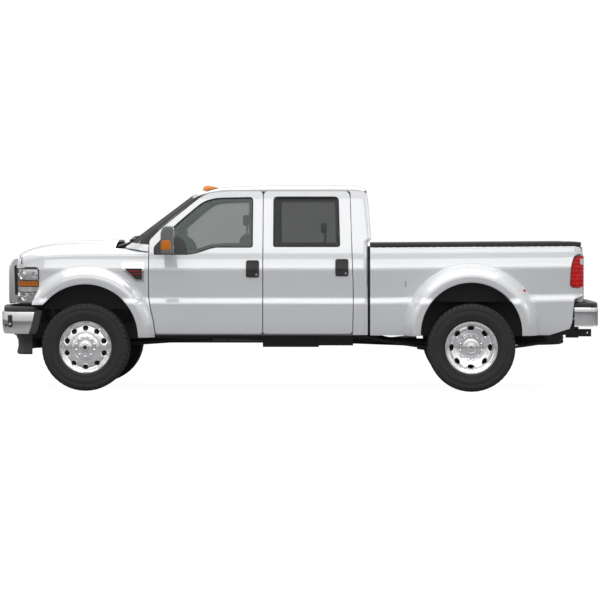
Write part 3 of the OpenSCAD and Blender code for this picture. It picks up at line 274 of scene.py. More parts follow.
def studio_world():
    """A world that is white where it is seen, grey in its light, and brighter above in reflections."""
    world = bpy.data.worlds.new("studio_world")
    bpy.context.scene.world = world
    world.use_nodes = True
    w = Finish.__new__(Finish)
    w.tree = world.node_tree
    w.tree.nodes.clear()
    seen = white_to_the_eye(w)
    path = w.tree.nodes.new("ShaderNodeLightPath")
    mirrored = Value(w, path.outputs["Is Glossy Ray"])
    up = w.node("ShaderNodeSeparateXYZ", None, {0: w.node("ShaderNodeTexCoord", output="Generated")}, 2)
    sky = w.node("ShaderNodeMapRange", {"interpolation_type": "SMOOTHSTEP"},
                 {0: up, 1: 0.02, 2: 0.42, 3: 0.62, 4: 1.12})
    strength = (seen * 0.56 + 0.44) * (1 - mirrored) + sky * mirrored
    back = w.node("ShaderNodeBackground", None, {"Color": rgb(1, 1, 1), "Strength": strength})
    w.node("ShaderNodeOutputWorld", None, {"Surface": back})

studio_world()
bpy.ops.mesh.primitive_plane_add(size=1)
floor = bpy.context.object
floor.name = "floor"
floor_size = 160
floor.data.transform(Matrix.Diagonal((floor_size, floor_size, 1, 1)))
floor.data.materials.append(floor_finish())
bpy.context.scene.view_settings.view_transform = "Standard"
print("floor and world ready")

# %% [markdown]
# Every new piece is one of a few kinds of surface: a grid of points, a section carried along a
# path, a profile turned round an axle, or a panel cut from a curved skin. One function puts any of
# them into a mesh, smooth where it is round and crisp where it turns sharply.

def make(name, points, faces, finish, stands_for=(), body="chassis", slot=None, crease=34, hold=False):
    """A piece from points in millimetres and a list of face arrays, all facing outwards.

    The slot argument is not used. The closed form's signed volume tells whether its faces look inwards;
    then they are turned over.
    """
    points = np.asarray(points, float)
    faces = [np.asarray(f) for f in (faces if isinstance(faces, (list, tuple)) else [faces])]
    if not hold:
        tris = np.concatenate([f if f.shape[1] == 3 else np.concatenate([f[:, :3], f[:, [0, 2, 3]]])
                               for f in faces])
        centre = points.mean(0)
        a, b, c = (points[tris[:, k]] - centre for k in range(3))
        if np.einsum("ij,ij->i", a, np.cross(b, c)).sum() < 0:
            faces = [f[:, ::-1] for f in faces]
    mesh = bpy.data.meshes.new(name)
    mesh.from_pydata((points / 1000).tolist(), [], [f for part in faces for f in part.tolist()])
    mesh.polygons.foreach_set("use_smooth", np.ones(len(mesh.polygons), bool))
    mesh.set_sharp_from_angle(angle=math.radians(crease))
    mesh.materials.append(finish)
    piece = bpy.data.objects.new(name, mesh)
    bpy.context.scene.collection.objects.link(piece)
    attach(piece, body)
    if stands_for:
        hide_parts(*([stands_for] if isinstance(stands_for, str) else stands_for))
    return piece

def both(name, points, faces, finish, stands_for="", body="chassis", **more):
    """One piece on each side; body and stands_for hold {side}, which becomes left or right."""
    for side, p in (("left", points), ("right", np.asarray(points) * [1, -1, 1])):
        turned = [f[:, ::-1] for f in faces] if isinstance(faces, list) else faces[:, ::-1]
        make(f"{side}_{name}", p, faces if side == "left" else turned, finish,
             stands_for.format(side=side), body.format(side=side), **more)

# %% Grids, turned profiles and swept sections
def at(origin, offsets):
    """Flat points given by their distances from an origin."""
    return np.add(origin, offsets)

def oblong(x0, x1, z0, z1):
    """The four corners of a rectangle, in order round it."""
    return [(x0, z0), (x1, z0), (x1, z1), (x0, z1)]

def grid_faces(rows, cols, round_rows=False, round_cols=False):
    """Four-sided faces between neighbouring grid points; a round direction joins up."""
    i = np.arange(rows if round_rows else rows - 1)[:, None]
    j = np.arange(cols if round_cols else cols - 1)[None, :]
    a, b = i * cols + j, i * cols + (j + 1) % cols
    c, d = ((i + 1) % rows) * cols + (j + 1) % cols, ((i + 1) % rows) * cols + j
    return np.stack([a, b, c, d], -1).reshape(-1, 4)

def grid_shell(grid, inner):
    """A closed sheet: the outer grid, the inner grid and a wall round their edge."""
    rows, cols = grid.shape[:2]
    n = rows * cols
    front = grid_faces(rows, cols)
    edge = np.concatenate([np.arange(cols - 1), np.arange(rows - 1) * cols + cols - 1,
                           np.arange(cols - 1, 0, -1) + (rows - 1) * cols,
                           np.arange(rows - 1, 0, -1) * cols])
    nxt = np.roll(edge, -1)
    wall = np.stack([nxt, edge, edge + n, nxt + n], -1)
    return np.concatenate([grid.reshape(-1, 3), inner.reshape(-1, 3)]), \
        [front, front[:, ::-1] + n, wall]

def turned(profile, place, steps=96, axis="y"):
    """A closed profile of (radius, along) pairs carried round an axis through place."""
    p = np.asarray(profile, float)
    a = np.linspace(0, 2 * np.pi, steps, endpoint=False)[:, None]
    r, y = p[None, :, 0], p[None, :, 1] + 0 * a
    parts = {"y": (r * np.cos(a), y, r * np.sin(a)), "z": (r * np.cos(a), r * np.sin(a), y),
             "x": (y, r * np.cos(a), r * np.sin(a))}[axis]
    return np.stack(parts, -1).reshape(-1, 3) + place, grid_faces(steps, len(p), True, True)

def tube(grid):
    """A closed form from rings of points: faces from ring to ring, and a fan at each end."""
    rows, cols = grid.shape[:2]
    j, n = np.arange(cols), rows * cols
    k = (j + 1) % cols
    fans = [np.stack([k, j, 0 * j + n], -1), np.stack([j + n - cols, k + n - cols, 0 * j + n + 1], -1)]
    return np.concatenate([grid.reshape(-1, 3), grid[[0, -1]].mean(1)]), \
        [grid_faces(rows, cols, False, True), *fans]

def swept(path, section, up=(0, 0, 1), closed=False):
    """A closed section of (across, up) pairs carried along a path of points."""
    path, section = np.asarray(path, float), np.asarray(section, float)
    ahead = np.roll(path, -1, 0) - np.roll(path, 1, 0) if closed else np.gradient(path, axis=0)
    ahead /= np.linalg.norm(ahead, axis=1, keepdims=True)
    across = np.cross(ahead, np.asarray(up, float))
    across /= np.linalg.norm(across, axis=1, keepdims=True)
    rise = np.cross(across, ahead)
    if section.ndim == 2:
        section = np.broadcast_to(section, (len(path), *section.shape))
    grid = path[:, None] + across[:, None] * section[..., :1] + rise[:, None] * section[..., 1:]
    if not closed:
        return tube(grid)
    return grid.reshape(-1, 3), [grid_faces(*grid.shape[:2], True, True)]

def way_of(corners, r, step=28.0):
    """An open path through corners, rounded by r and cut into even steps."""
    corners = np.asarray(corners, float)
    p = np.concatenate([corners[:1], rounded(corners, r, 6)[6:-6], corners[-1:]])
    d = np.concatenate([[0], np.cumsum(np.linalg.norm(np.diff(p, axis=0), axis=1))])
    return np.stack([np.interp(np.linspace(0, d[-1], int(d[-1] / step) + 2), d,
                               p[:, k]) for k in range(p.shape[1])], -1)

def round_section(r, n=12):
    """A circle of radius r as n (across, up) pairs."""
    a = np.linspace(0, 2 * np.pi, n, endpoint=False)
    return np.stack([r * np.cos(a), r * np.sin(a)], -1)

def joined(*parts):
    """Several (points, faces) lists as one, so that like pieces can share an object."""
    points, faces, start = [], [], 0
    for p, fs in parts:
        points.append(np.asarray(p, float))
        faces += [np.asarray(f) + start for f in (fs if isinstance(fs, list) else [fs])]
        start += len(p)
    return np.concatenate(points), faces

# %% [markdown]
# Body panels have outlines with round corners and holes for windows and lamps, so they don't fit
# a plain grid. Their outline is laid on a flat grid first, the grid is cut to it with a Delaunay
# triangulation, and then every point is lifted onto the curved skin by a function of its place.

# %% Panels cut from a curved skin
def rounded(outline, r, k=7):
    """Each corner becomes a quadratic curve that starts r before it and ends r after it."""
    p = np.asarray(outline, float)
    a, b = np.roll(p, 1, 0) - p, np.roll(p, -1, 0) - p
    la, lb = (np.linalg.norm(v, axis=1, keepdims=True) for v in (a, b))
    d = np.minimum(np.reshape(r, (-1, 1)), 0.48 * np.minimum(la, lb))
    t = np.linspace(0, 1, k)[None, :, None]
    start, end = (p + a / la * d)[:, None], (p + b / lb * d)[:, None]
    return ((1 - t) ** 2 * start + 2 * t * (1 - t) * p[:, None] + t ** 2 * end).reshape(-1, 2)

def subdivided(outline, step):
    """The same closed outline with no two points further apart than step."""
    p = np.asarray(outline, float)
    p = p[np.linalg.norm(np.roll(p, -1, 0) - p, axis=1) > 1e-3]
    q = np.roll(p, -1, 0)
    n = np.maximum(1, np.ceil(np.linalg.norm(q - p, axis=1) / step)).astype(int)
    i = np.repeat(np.arange(len(p)), n)
    f = (np.arange(n.sum()) - np.repeat(np.cumsum(n) - n, n)) / n[i]
    return p[i] + (q - p)[i] * f[:, None]

def inside(points, outline):
    """True where a point has an odd number of the outline's edges to its left."""
    x, y = points[:, :1], points[:, 1:2]
    a, b = outline, np.roll(outline, -1, 0)
    cross = ((a[:, 1] > y) != (b[:, 1] > y)) & \
        (x < (b[:, 0] - a[:, 0]) * (y - a[:, 1]) / (b[:, 1] - a[:, 1] + 1e-12) + a[:, 0])
    return cross.sum(1) % 2 == 1

def cut_sheet(outline, holes=(), step=14, own_points=None):
    """Flat points and triangles of an outline with holes, on a grid about step wide."""
    loops = [subdivided(o, step) for o in (outline, *holes)]
    edge = np.concatenate(loops)
    if own_points is None:
        low, high = edge.min(0), edge.max(0)
        axes = [np.linspace(low[k], high[k],
                            max(3, int((high[k] - low[k]) / step) + 1)) for k in (0, 1)]
        own_points = np.stack(np.meshgrid(*axes), -1).reshape(-1, 2)
    keep = inside(own_points, loops[0])
    for hole in loops[1:]:
        keep &= ~inside(own_points, hole)
    own = own_points[keep]
    near = np.full(len(own), 1e9)
    for part in np.array_split(edge, max(1, len(edge) // 200)):
        near = np.minimum(near, np.linalg.norm(own[:, None] - part[None], axis=2).min(1))
    own = own[near > 0.55 * step]
    flat = np.concatenate([edge, own])
    edges, start = [], 0
    for loop in loops:
        edges += [(start + i, start + (i + 1) % len(loop)) for i in range(len(loop))]
        start += len(loop)
    made = delaunay_2d_cdt([Vector(p) for p in flat.tolist()], edges, [], 0, 1e-5)
    flat = np.array([tuple(v) for v in made[0]])
    tris = np.array(made[2])
    mid = flat[tris].mean(1)
    keep = inside(mid, loops[0])
    for hole in loops[1:]:
        keep &= ~inside(mid, hole)
    return flat, tris[keep]

def panel(flat, tris, outer, inner):
    """A closed panel from a cut sheet: outer and inner are functions of the flat points."""
    a = np.concatenate([tris[:, [0, 1]], tris[:, [1, 2]], tris[:, [2, 0]]])
    key = np.sort(a, axis=1)
    _, first, count = np.unique(key, axis=0, return_index=True, return_counts=True)
    rim = a[first[count == 1]]
    n = len(flat)
    wall = np.stack([rim[:, 1], rim[:, 0], rim[:, 0] + n, rim[:, 1] + n], -1)
    return np.concatenate([outer(flat), inner(flat)]), [tris, tris[:, ::-1] + n, wall]

# %% [markdown]
# Small trim is mostly slabs: an outline drawn out one way with rounded edges. The outline may lie
# in any of the three planes, so one function makes handles, mirror heads, lamp pods and pads.

# %% Slabs and pods
def slab(outline, low, high, r=8.0, axes="xyz", k=4):
    """An outline drawn out from low to high with edges rounded by r; axes name its directions."""
    outline = np.asarray(outline, float)
    middle, half = (outline.min(0) + outline.max(0)) / 2, (outline.max(0) - outline.min(0)) / 2
    a = np.linspace(0, np.pi / 2, k)
    inset = np.concatenate([r * (1 - np.sin(a)), r * (1 - np.sin(a[::-1]))])
    w = np.concatenate([low + r * (1 - np.cos(a)), high - r * (1 - np.cos(a[::-1]))])
    rings = middle + (outline - middle)[None] * ((half - inset[:, None]) / half)[:, None]
    grid = np.concatenate([rings, np.broadcast_to(w[:, None, None], (*rings.shape[:2], 1))], -1)
    grid = grid[..., [axes.index(c) for c in "xyz"]]
    return tube(grid)

def box_slab(x, y, z, r=8.0):
    """A rounded box from three (low, high) pairs."""
    return slab(rounded(oblong(x[0], x[1], y[0], y[1]), r * 1.6, 6), *z, r)

def pod(place, length, width, tall, foot=6.0, nose=1.6):
    """A teardrop lamp: its half width and height grow from a point in front and round off behind."""
    u = np.linspace(0, 1, 26)
    size = np.clip((1 - u) * 7, 0.02, 1) ** 0.5 * np.clip(u * nose, 0.02, 1) ** 0.75
    a = np.linspace(0, 2 * np.pi, 20, endpoint=False)
    section = np.stack([width / 2 * np.cos(a) * size[:, None],
                        np.where(np.sin(a) > 0, tall * np.sin(a) * size[:, None],
                                 foot * np.sin(a))], -1)
    path = np.array(place) + np.outer(u - 0.5, [length, 0, 0])
    return swept(path, section)

def plate(shape, step, skin, out, back, holes=()):
    """A cut shape between two depths of one skin."""
    return panel(*cut_sheet(shape, holes, step), skin(out), skin(back))
print("shape helpers ready")

# %% [markdown]
# The white paint is a hard enamel under clear coat. Close up it has the faint orange peel of
# sprayed paint, its colour turns a little darker in patches towards the sills, and its roughness
# drifts slightly from place to place. Chrome, rubber, plastics and glass follow the same way.

# %% Paint and bright metal
def worn_marks(f, along, across, height):
    """1 on the two worn places of the left side: a slanted scratch on the fender, a chip on the bed."""
    fender, chip = (front_x - 366) / 1000, (rear_x + 670) / 1000
    scratch = ((along - fender).absolute() < 0.03) * ((height + along * 0.8 - belt_z / 1000
                                                       - fender * 0.8 + 0.035).absolute() < 0.005)
    dent = ((along - chip).absolute() < 0.009) * ((height - bed_top / 1000 + 0.383).absolute() < 0.03)
    return (scratch * 0.9 + dent * 0.7) * (across > 0.5)

def paint(name, colour, dust=0.05):
    """Clear-coated enamel: darker in patches low down, a fine orange peel, and two worn marks."""
    f = Finish(name)
    along, across, height = (f.node("ShaderNodeSeparateXYZ", None, {0: f.place()}, i) for i in range(3))
    # Darker towards the bottom: below about a metre the colour is mixed, in patches, towards a darker
    # grey-brown.
    low = f.node("ShaderNodeMapRange", None, {0: height, 1: 1.0, 2: 0.55, 3: 0.0, 4: 1.0})
    wear_and_low_darkening = low * f.noise(7.0, 4.0) * dust * 2 + f.noise(1.1, 2.0) * 0.015 + worn_marks(f, along,
            across, height)
    return f.surface(Base_Color=f.mix(wear_and_low_darkening, rgb(*colour), rgb(0.42, 0.40, 0.37)),
                     Roughness=f.noise(3.0) * 0.06 + 0.2, Coat_Weight=1.0, Coat_Roughness=0.04,
                     Coat_IOR=2.0, Normal=f.bump(f.noise(420.0, 1.0), 0.04, 0.0004))

def bright_metal(name, colour, rough, grain=0.05, coat=0.0):
    """Plated or polished metal: clean, with faint wiping marks in its roughness."""
    f = Finish(name)
    wipe = f.noise(9.0, 5.0)
    return f.surface(Base_Color=f.mix(wipe * 0.35, rgb(*colour), rgb(*[c * 0.86 for c in colour])),
                     Metallic=1.0, Roughness=wipe * grain + rough, Coat_Weight=coat,
                     Normal=f.bump(f.noise(160.0, 2.0), 0.02, 0.0005))

def plastic(name, colour, rough=0.55, scale=900.0, depth=0.25):
    """Moulded plastic or cast metal with a fine pebbled grain and dusty patches."""
    f = Finish(name)
    patch = f.noise(5.0, 4.0)
    return f.surface(Base_Color=f.mix(patch * 0.5, rgb(*colour),
                                      rgb(*[c * 1.5 + 0.012 for c in colour])),
                     Roughness=patch * 0.15 + rough,
                     Normal=f.bump(f.noise(scale, 2.0), depth, 0.0006))

def rubber(name, colour=(0.016, 0.016, 0.017)):
    """Tyre rubber: matt, greyed by dust in wide soft patches, with a fine moulded grain."""
    f = Finish(name)
    dust = f.noise(11.0, 5.0)
    return f.surface(Base_Color=f.mix(dust * 0.6, rgb(*colour), rgb(0.024, 0.0235, 0.0225)),
                     Roughness=dust * 0.2 + 0.62, Normal=f.bump(f.noise(700.0, 2.0), 0.2, 0.0005))

def tinted_glass(name, colour, alpha, gloss=0.5):
    """Car glass: mostly see-through, dark tint, with a sharp gloss."""
    f = Finish(name)
    smear = f.noise(3.0, 3.0)
    return f.surface(Base_Color=rgb(*colour), Roughness=smear * 0.03 + 0.01, IOR=1.5,
                     Alpha=smear * 0.05 + alpha, Specular_IOR_Level=gloss, Coat_Weight=gloss)

white = paint("white_paint", (0.80, 0.815, 0.835))
chrome = bright_metal("chrome_plate", (0.80, 0.80, 0.81), 0.06)
polished = bright_metal("polished_rim", (0.88, 0.88, 0.89), 0.1, 0.08)
steel = bright_metal("plain_steel", (0.30, 0.30, 0.31), 0.38, 0.2)
exhaust_steel = bright_metal("exhaust_steel", (0.33, 0.29, 0.25), 0.42, 0.25)
black_trim = plastic("black_plastic", (0.014, 0.014, 0.015), 0.5)
grey_trim = plastic("grey_plastic", (0.038, 0.039, 0.041), 0.55)
mirror_grey = plastic("mirror_grey", (0.15, 0.154, 0.158), 0.5)
cabin_plastic = plastic("interior_plastic", (0.075, 0.078, 0.078), 0.65)
chassis_black = plastic("chassis_black", (0.014, 0.014, 0.014), 0.45, 260.0, 0.3)
engine_grey = plastic("engine_grey", (0.10, 0.10, 0.105), 0.55, 140.0, 0.5)
cast_iron = plastic("cast_knuckle", (0.055, 0.053, 0.05), 0.6, 180.0, 0.5)
tyre_rubber = rubber("tyre_rubber")
seal_rubber = rubber("seal_rubber", (0.01, 0.01, 0.01))
glass = tinted_glass("tinted_glass", (0.05, 0.10, 0.082), 0.36)
dark_glass = tinted_glass("rear_glass", (0.020, 0.026, 0.024), 0.5, 0.2)
screen_glass = tinted_glass("screen_glass", (0.012, 0.016, 0.015), 0.86, 0.08)
print("finishes", len(bpy.data.materials))

# %% [markdown]
# The body side is one profile from sill to roof, the same for fenders, doors, cab and bed: it
# tucks in at the sill, steps in at the ledge, stands straight, rolls over the shoulder, and leans
# in along the windows. A table of heights and depths, smoothed by a short running mean, gives it.

# %% The body side's profile
side_table = np.array([(-20, -60), (65, -52), (110, -36), (150, -24), (230, -12), (330, -5), (440, 0),
                       (456, -2), (500, -35), (510, -37), (640, -33), (790, -25), (812, -27),
                       (850, -39), (910, -53), (964, -63), (1024, -77), (1546, -226), (1608, -252),
                       (1690, -282)]) + [axle_z, half_w]
roof_shift = roof_z - 2130
side_table[-3:, 0] += roof_shift
side_z = np.arange(side_table[0, 0], side_table[-1, 0], 1.0)
side_y = np.convolve(np.pad(np.interp(side_z, *side_table.T), 7, "edge"), np.ones(15) / 15, "valid")

def side(z):
    """Half width of the body side at height z."""
    return np.interp(z, side_z, side_y)

def flare(x, z, arch, r, out, width=182.0):
    """How far a wheel flare stands out: nothing at its outer edge, all of it near its lip."""
    d = np.where(z > arch[1], np.hypot(x - arch[0], z - arch[1]), np.abs(x - arch[0]))
    t = np.clip((r + width - d) / (width - 50), 0, 1)
    lip = np.clip(1 - (d - r) / 16, 0, 1)
    return out * (1 - (1 - t) ** 2) * (1 - np.exp(-(t / 0.07) ** 2)) - 9 * lip ** 2
print("half width at the sill, ledge and belt:", [round(float(side(z))) for z in (600, 900, belt_z)])

# %% [markdown]
# Doors are pressed skins over a deep inner frame. The skin follows the body side out to the
# panel gap. Behind it, the inner frame stops short all round, as deep as the door is thick, and
# both share the window's opening. The outlines repeat the CAD doors' own lines.

# %% Door outlines
door_low = rocker_z + 12
top_z = roof_z - 72
window_top = roof_z - 134
ledge = axle_z + 444

def front_edge(z):
    """The front door's front edge: straight above the ledge, swept back below by the flare."""
    return door_front - np.interp(z, [door_low, rocker_z + 130, ledge, ledge + 70], [68, 52, 14, 0])

low_edge = np.array([rocker_z + 130, door_low])
front_door = rounded(np.array([
    (door_front, belt_z + 75), (door_front, ledge + 70), (front_edge(ledge), ledge),
    *zip(front_edge(low_edge), low_edge), (door_mid + 4.5, door_low), (door_mid + 4.5, top_z),
    (door_mid + 420, top_z), (door_front - 560, top_z - 30), (door_front - 110, belt_z + 190)]),
    [30, 60, 60, 60, 30, 30, 45, 120, 140, 120])
rear_door = rounded([
    (door_mid - 4.5, door_low), (door_mid - 4.5, top_z), (door_rear + 36, top_z),
    (door_rear, ledge + 80), (door_rear + 8, door_low)], [30, 45, 60, 60, 40])
front_window = rounded([(door_front - 46, belt_z - 74), (door_front - 415, belt_z - 74),
                        (door_front - 530, belt_z - 48), (door_front - 660, belt_z),
                        (door_mid + 104, belt_z), (door_mid + 104, window_top + 4),
                        (door_mid + 480, window_top - 4), (door_mid + 605, window_top - 34),
                        (door_mid + 700, window_top - 104), (door_front - 258, belt_z + 232),
                        (door_front - 120, belt_z + 90), (door_front - 46, belt_z + 8)],
                       [12, 60, 80, 60, 30, 45, 90, 60, 90, 90, 60, 20])
rear_window = rounded([
    (door_mid - 104, belt_z + 6), (door_rear + 132, belt_z + 6), (door_rear + 148, window_top + 8),
    (door_mid - 104, window_top + 8)], [26, 30, 50, 46])

def grown(outline, by):
    """The outline moved outwards by a distance, along its own normals."""
    p = subdivided(outline, 20)
    t = np.roll(p, -1, 0) - np.roll(p, 1, 0)
    n = np.stack([t[:, 1], -t[:, 0]], -1) / np.linalg.norm(t, axis=1, keepdims=True)
    area = np.sum(p[:, 0] * np.roll(p[:, 1], -1) - np.roll(p[:, 0], -1) * p[:, 1])
    return p + n * by * np.sign(area)

def on_side(depth):
    """Lifts flat (x, z) points onto the body side, depth millimetres in from its skin."""
    return lambda p: np.stack([p[:, 0], side(p[:, 1]) - (depth(p[:, 1]) if callable(depth) else depth),
                               p[:, 1]], -1)

def door_depth(z):
    """A door is 105 mm thick below its windows, and 50 mm in its window frame."""
    return np.interp(z, [belt_z - 20, belt_z + 40], [101, 46])

# %% Doors
def door_rows(outline, step=13):
    """Grid points whose rows keep to the ledge and the shoulder, so that those lines stay crisp."""
    (x0, z0), (x1, z1) = outline.min(0), outline.max(0)
    rows = np.concatenate([np.arange(z0 + 6, ledge, step), ledge + np.arange(2, 72, 6.5),
                           np.arange(ledge + 80, shoulder_z - 10, step),
                           shoulder_z + np.arange(-10, 60, 8),
                           np.arange(shoulder_z + 66, z1, step)])
    return np.stack(np.meshgrid(np.arange(x0 + 6, x1, step * 1.3), rows), -1).reshape(-1, 2)

for end, outline, window in (("front", front_door, front_window), ("rear", rear_door, rear_window)):
    skin = cut_sheet(outline, [window], 13, door_rows(outline))
    both(f"{end}_door_skin", *panel(*skin, on_side(0), on_side(17)), white, end + "_{side}_door",
         end + "_{side}_door", crease=30)
    frame_sheet = cut_sheet(grown(outline, -32), [window], 26)
    both(f"{end}_door_inner", *panel(*frame_sheet, on_side(17.5), on_side(door_depth)), white,
         body=end + "_{side}_door")
    pane = cut_sheet(grown(window, -1), [], 30)
    both(f"{end}_window", *panel(*pane, on_side(16), on_side(21)),
         glass if end == "front" else dark_glass, end + "_{side}_glass", end + "_{side}_door")
    reveal = cut_sheet(grown(window, 2), [grown(window, -44)], 30)
    both(f"{end}_window_reveal", *panel(*reveal, on_side(26), on_side(32)), black_trim,
         body=end + "_{side}_door")
print("doors made of", len(skin[1]), "triangles a skin")

# %% [markdown]
# The hood is one pressed sheet. It bows forward in plan, falls towards the nose, and has a raised
# middle with a soft crease at each side. One grid gives its height, and a second one below it
# gives the sheet its thickness.

# %% Hood
def hood_height(x, y):
    """Height of the hood at x and y: the fall to the nose, the side roll and the raised middle."""
    u = np.clip((x - hood_rear_x) / (hood_front_x - 95 - hood_rear_x), 0, 1.12)
    v = np.abs(y) / hood_half
    fall = 22 * u + 82 * u ** 5
    middle = 15 * (1 / (1 + np.exp((np.abs(y) - 420 + 120 * u) / 16))) * (1 - 0.55 * u)
    return hood_z0 - 8 - fall - 56 * v ** 4 * (1 - 0.3 * u) - 14 * v ** 2 + middle

def hood_grid(drop, inset):
    """The hood's grid: u runs back to front and v across; drop lowers it, inset draws its edge in."""
    u = 1 - (1 - np.linspace(0, 1, 60)) ** 1.5
    v = np.linspace(1, -1, 81)
    u, v = np.meshgrid(u, v, indexing="ij")
    y = v * (hood_half - inset)
    front = hood_front_x - inset - 95 * v ** 2 - 20 * np.abs(v) ** 12
    x = hood_rear_x + inset + (front - hood_rear_x - inset) * u
    roll = np.clip((np.abs(v) - 0.975) / 0.025, 0, 1) ** 2 * 7 + np.clip((u - 0.975) / 0.025, 0,
            1) ** 2 * 22
    return np.stack([x, y, hood_height(x, y) - drop - roll], -1)

hood_points, hood_faces = grid_shell(hood_grid(0, 0), hood_grid(18, 6))
make("hood_skin", hood_points, hood_faces, white, "hood", "hood", crease=40)
print("hood", len(hood_points), "points")

# %% [markdown]
# A front fender carries three shapes at once: the body side, the flare round the wheel, and the
# shoulder that rolls over to meet the hood. Its flat sheet is laid out along the truck and up the
# skin, so that the last part of its height runs round the shoulder.

# %% Front fenders
shoulder_l, shoulder_r = 170.0, 90.0

def knee(x):
    """Height at which the shoulder starts to roll over, below the hood's side edge."""
    return hood_height(np.clip(x, hood_rear_x, hood_front_x - 95), hood_half) - 2 - shoulder_r

def nose_tuck(x):
    """The fender turns in towards the nose."""
    return 75 * np.clip((x - fender_front + 330) / 330, 0, None) ** 2

def on_fender(depth):
    """Lifts (x, s) points onto the fender: s is a height up to the knee, then runs round it."""
    def lift(p):
        x, s = p[:, 0], p[:, 1]
        k = knee(x)
        z = np.minimum(s, k)
        y = side(np.minimum(z, belt_z - 60)) - nose_tuck(x) + flare(x, z, front_arch, front_arch_r, 112)
        a = np.radians(np.clip(90 * (s - k) / shoulder_l, 0, 90))
        y_in = hood_half + 6
        y = np.where(s <= k, y - depth, y_in + (y - y_in) * np.cos(a) - depth * np.cos(a))
        return np.stack([x, y, z + (shoulder_r - depth) * np.sin(a)], -1)
    return lift

def ring_points(arch, r, width, low, step=9):
    """Grid points that follow the flare: half circles round the arch, then lines down its legs."""
    d = r + np.concatenate([np.arange(4, 60, 7), np.arange(60, width + 30, step)])
    a = np.linspace(0, np.pi, 170)
    circle = arch + np.stack([d[:, None] * np.cos(a), d[:, None] * np.sin(a)], -1).reshape(-1, 2)
    z = np.arange(low, arch[1] - 4, 11)
    legs = np.stack(np.meshgrid(np.concatenate([arch[0] - d, arch[0] + d]), z), -1).reshape(-1, 2)
    return np.concatenate([circle, legs])

def fender_points(arch, r, low, high, x0, x1, width=182):
    """Flare rings near the arch, and plain rows further out."""
    rows = np.concatenate([np.arange(low, ledge - 6, 13), ledge + np.arange(0, 72, 6.5),
                           np.arange(ledge + 80, high, 12)])
    flat = np.stack(np.meshgrid(np.arange(x0, x1, 15), rows), -1).reshape(-1, 2)
    d = np.where(flat[:, 1] > arch[1], np.hypot(*(flat - arch).T), np.abs(flat[:, 0] - arch[0]))
    return np.concatenate([flat[d > r + width + 34], ring_points(arch, r, width, low)])

foot = rocker_z - 24
fender_rear = door_front + 9
seam_z = np.linspace(foot, ledge + 70, 12)
top_x = np.linspace(fender_rear, fender_front, 40)
fender_outline = np.concatenate([
    [[fender_front - 4, bumper_top + 12]],
    np.stack([top_x, knee(top_x) + shoulder_l - 1], -1)[::-1],
    np.stack([front_edge(seam_z) + 9, seam_z], -1)[::-1],
    [[front_edge(foot) + 9, foot], [front_x - front_arch_r, foot]]])
arch_top = np.linspace(np.pi, np.arcsin((bumper_top + 12 - front_arch[1]) / front_arch_r), 90)
fender_outline = np.concatenate([fender_outline, front_arch + front_arch_r *
                                 np.stack([np.cos(arch_top), np.sin(arch_top)], -1)])
lamp_hole = rounded([(fender_front + 60, bumper_top - 40),
                     (front_x + front_arch_r + 8, bumper_top - 40),
                     (front_x + front_arch_r + 8, bumper_top + 40),
                     (fender_front - 176, bumper_top + 150), (fender_front - 184, hood_z1 - 130),
                     (fender_front - 160, hood_z1 - 108), (fender_front + 60, hood_z1 - 108)],
                    [1, 1, 30, 60, 40, 30, 1])
sheet, tris = cut_sheet(fender_outline, [], 12, fender_points(
    front_arch, front_arch_r, foot, knee(fender_rear) + shoulder_l, fender_rear, fender_front))
tris = tris[~inside(sheet[tris].mean(1), lamp_hole)]
fender, fender_faces = panel(sheet, tris, on_fender(0), on_fender(13))
both("fender", fender, fender_faces, white, crease=42)
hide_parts("front_fenders")
print("fender", len(fender), "points")

# %% [markdown]
# The arch lip is turned in, so that the flare looks thick: a strip follows the arch from the
# flare's edge towards the wheel.

# %% Arch lips
def lip_strip(lift, arch, r, low_front, low_rear, depth=70):
    """The turned-in lip: the arch's edge points, and the same points moved towards the wheel."""
    a = np.linspace(0, np.pi, 120)
    x, z = arch[0] + r * np.cos(a), arch[1] + r * np.sin(a)
    ahead, behind = (np.linspace(low, arch[1], 12, endpoint=False) for low in (low_front, low_rear))
    path = np.concatenate([np.stack([0 * ahead + arch[0] + r, ahead], -1), np.stack([x, z], -1),
                           np.stack([0 * behind + arch[0] - r, behind], -1)[::-1]])
    if low_front > arch[1]:
        path = path[12 + np.argmax(z > low_front):]
    out = lift(path)
    t = np.linspace(0, 1, 6)[:, None, None]
    inward = np.array([0, -depth, 0])
    grid = out[None] + inward * t
    normal = np.stack([path[:, 0] - arch[0], 0 * path[:, 0], np.maximum(path[:, 1] - arch[1], 0)], -1)
    normal /= np.linalg.norm(normal, axis=1, keepdims=True)
    return grid_shell(grid + normal * 0.5, grid + normal * 9)

front_lip = lip_strip(on_fender(4), front_arch, front_arch_r, bumper_top + 14, foot)
both("front_arch_lip", *front_lip, white)
print("front lips", len(front_lip[0]))

# %% [markdown]
# The cab's shell shows as a roof with rounded rails, windscreen pillars, and a corner panel behind
# the rear doors. Inside it, a copy of the CAD cab gives the sills, jambs, floor and rear wall. The
# copy is merged and drawn in a few millimetres, so that the finer outer skins cover it.

# %% Cab shell inside the skins
def merged_copy(node):
    """A CAD node's points in millimetres, with equal points merged, and its triangles."""
    mesh = frame["nodes"][node].data
    co = np.empty(len(mesh.vertices) * 3)
    mesh.vertices.foreach_get("co", co)
    index = np.empty(len(mesh.loops), int)
    mesh.loops.foreach_get("vertex_index", index)
    co = np.round(co.reshape(-1, 3) * 1000, 2)
    points, where = np.unique(co, axis=0, return_inverse=True)
    return points, where.reshape(-1)[index].reshape(-1, 3)

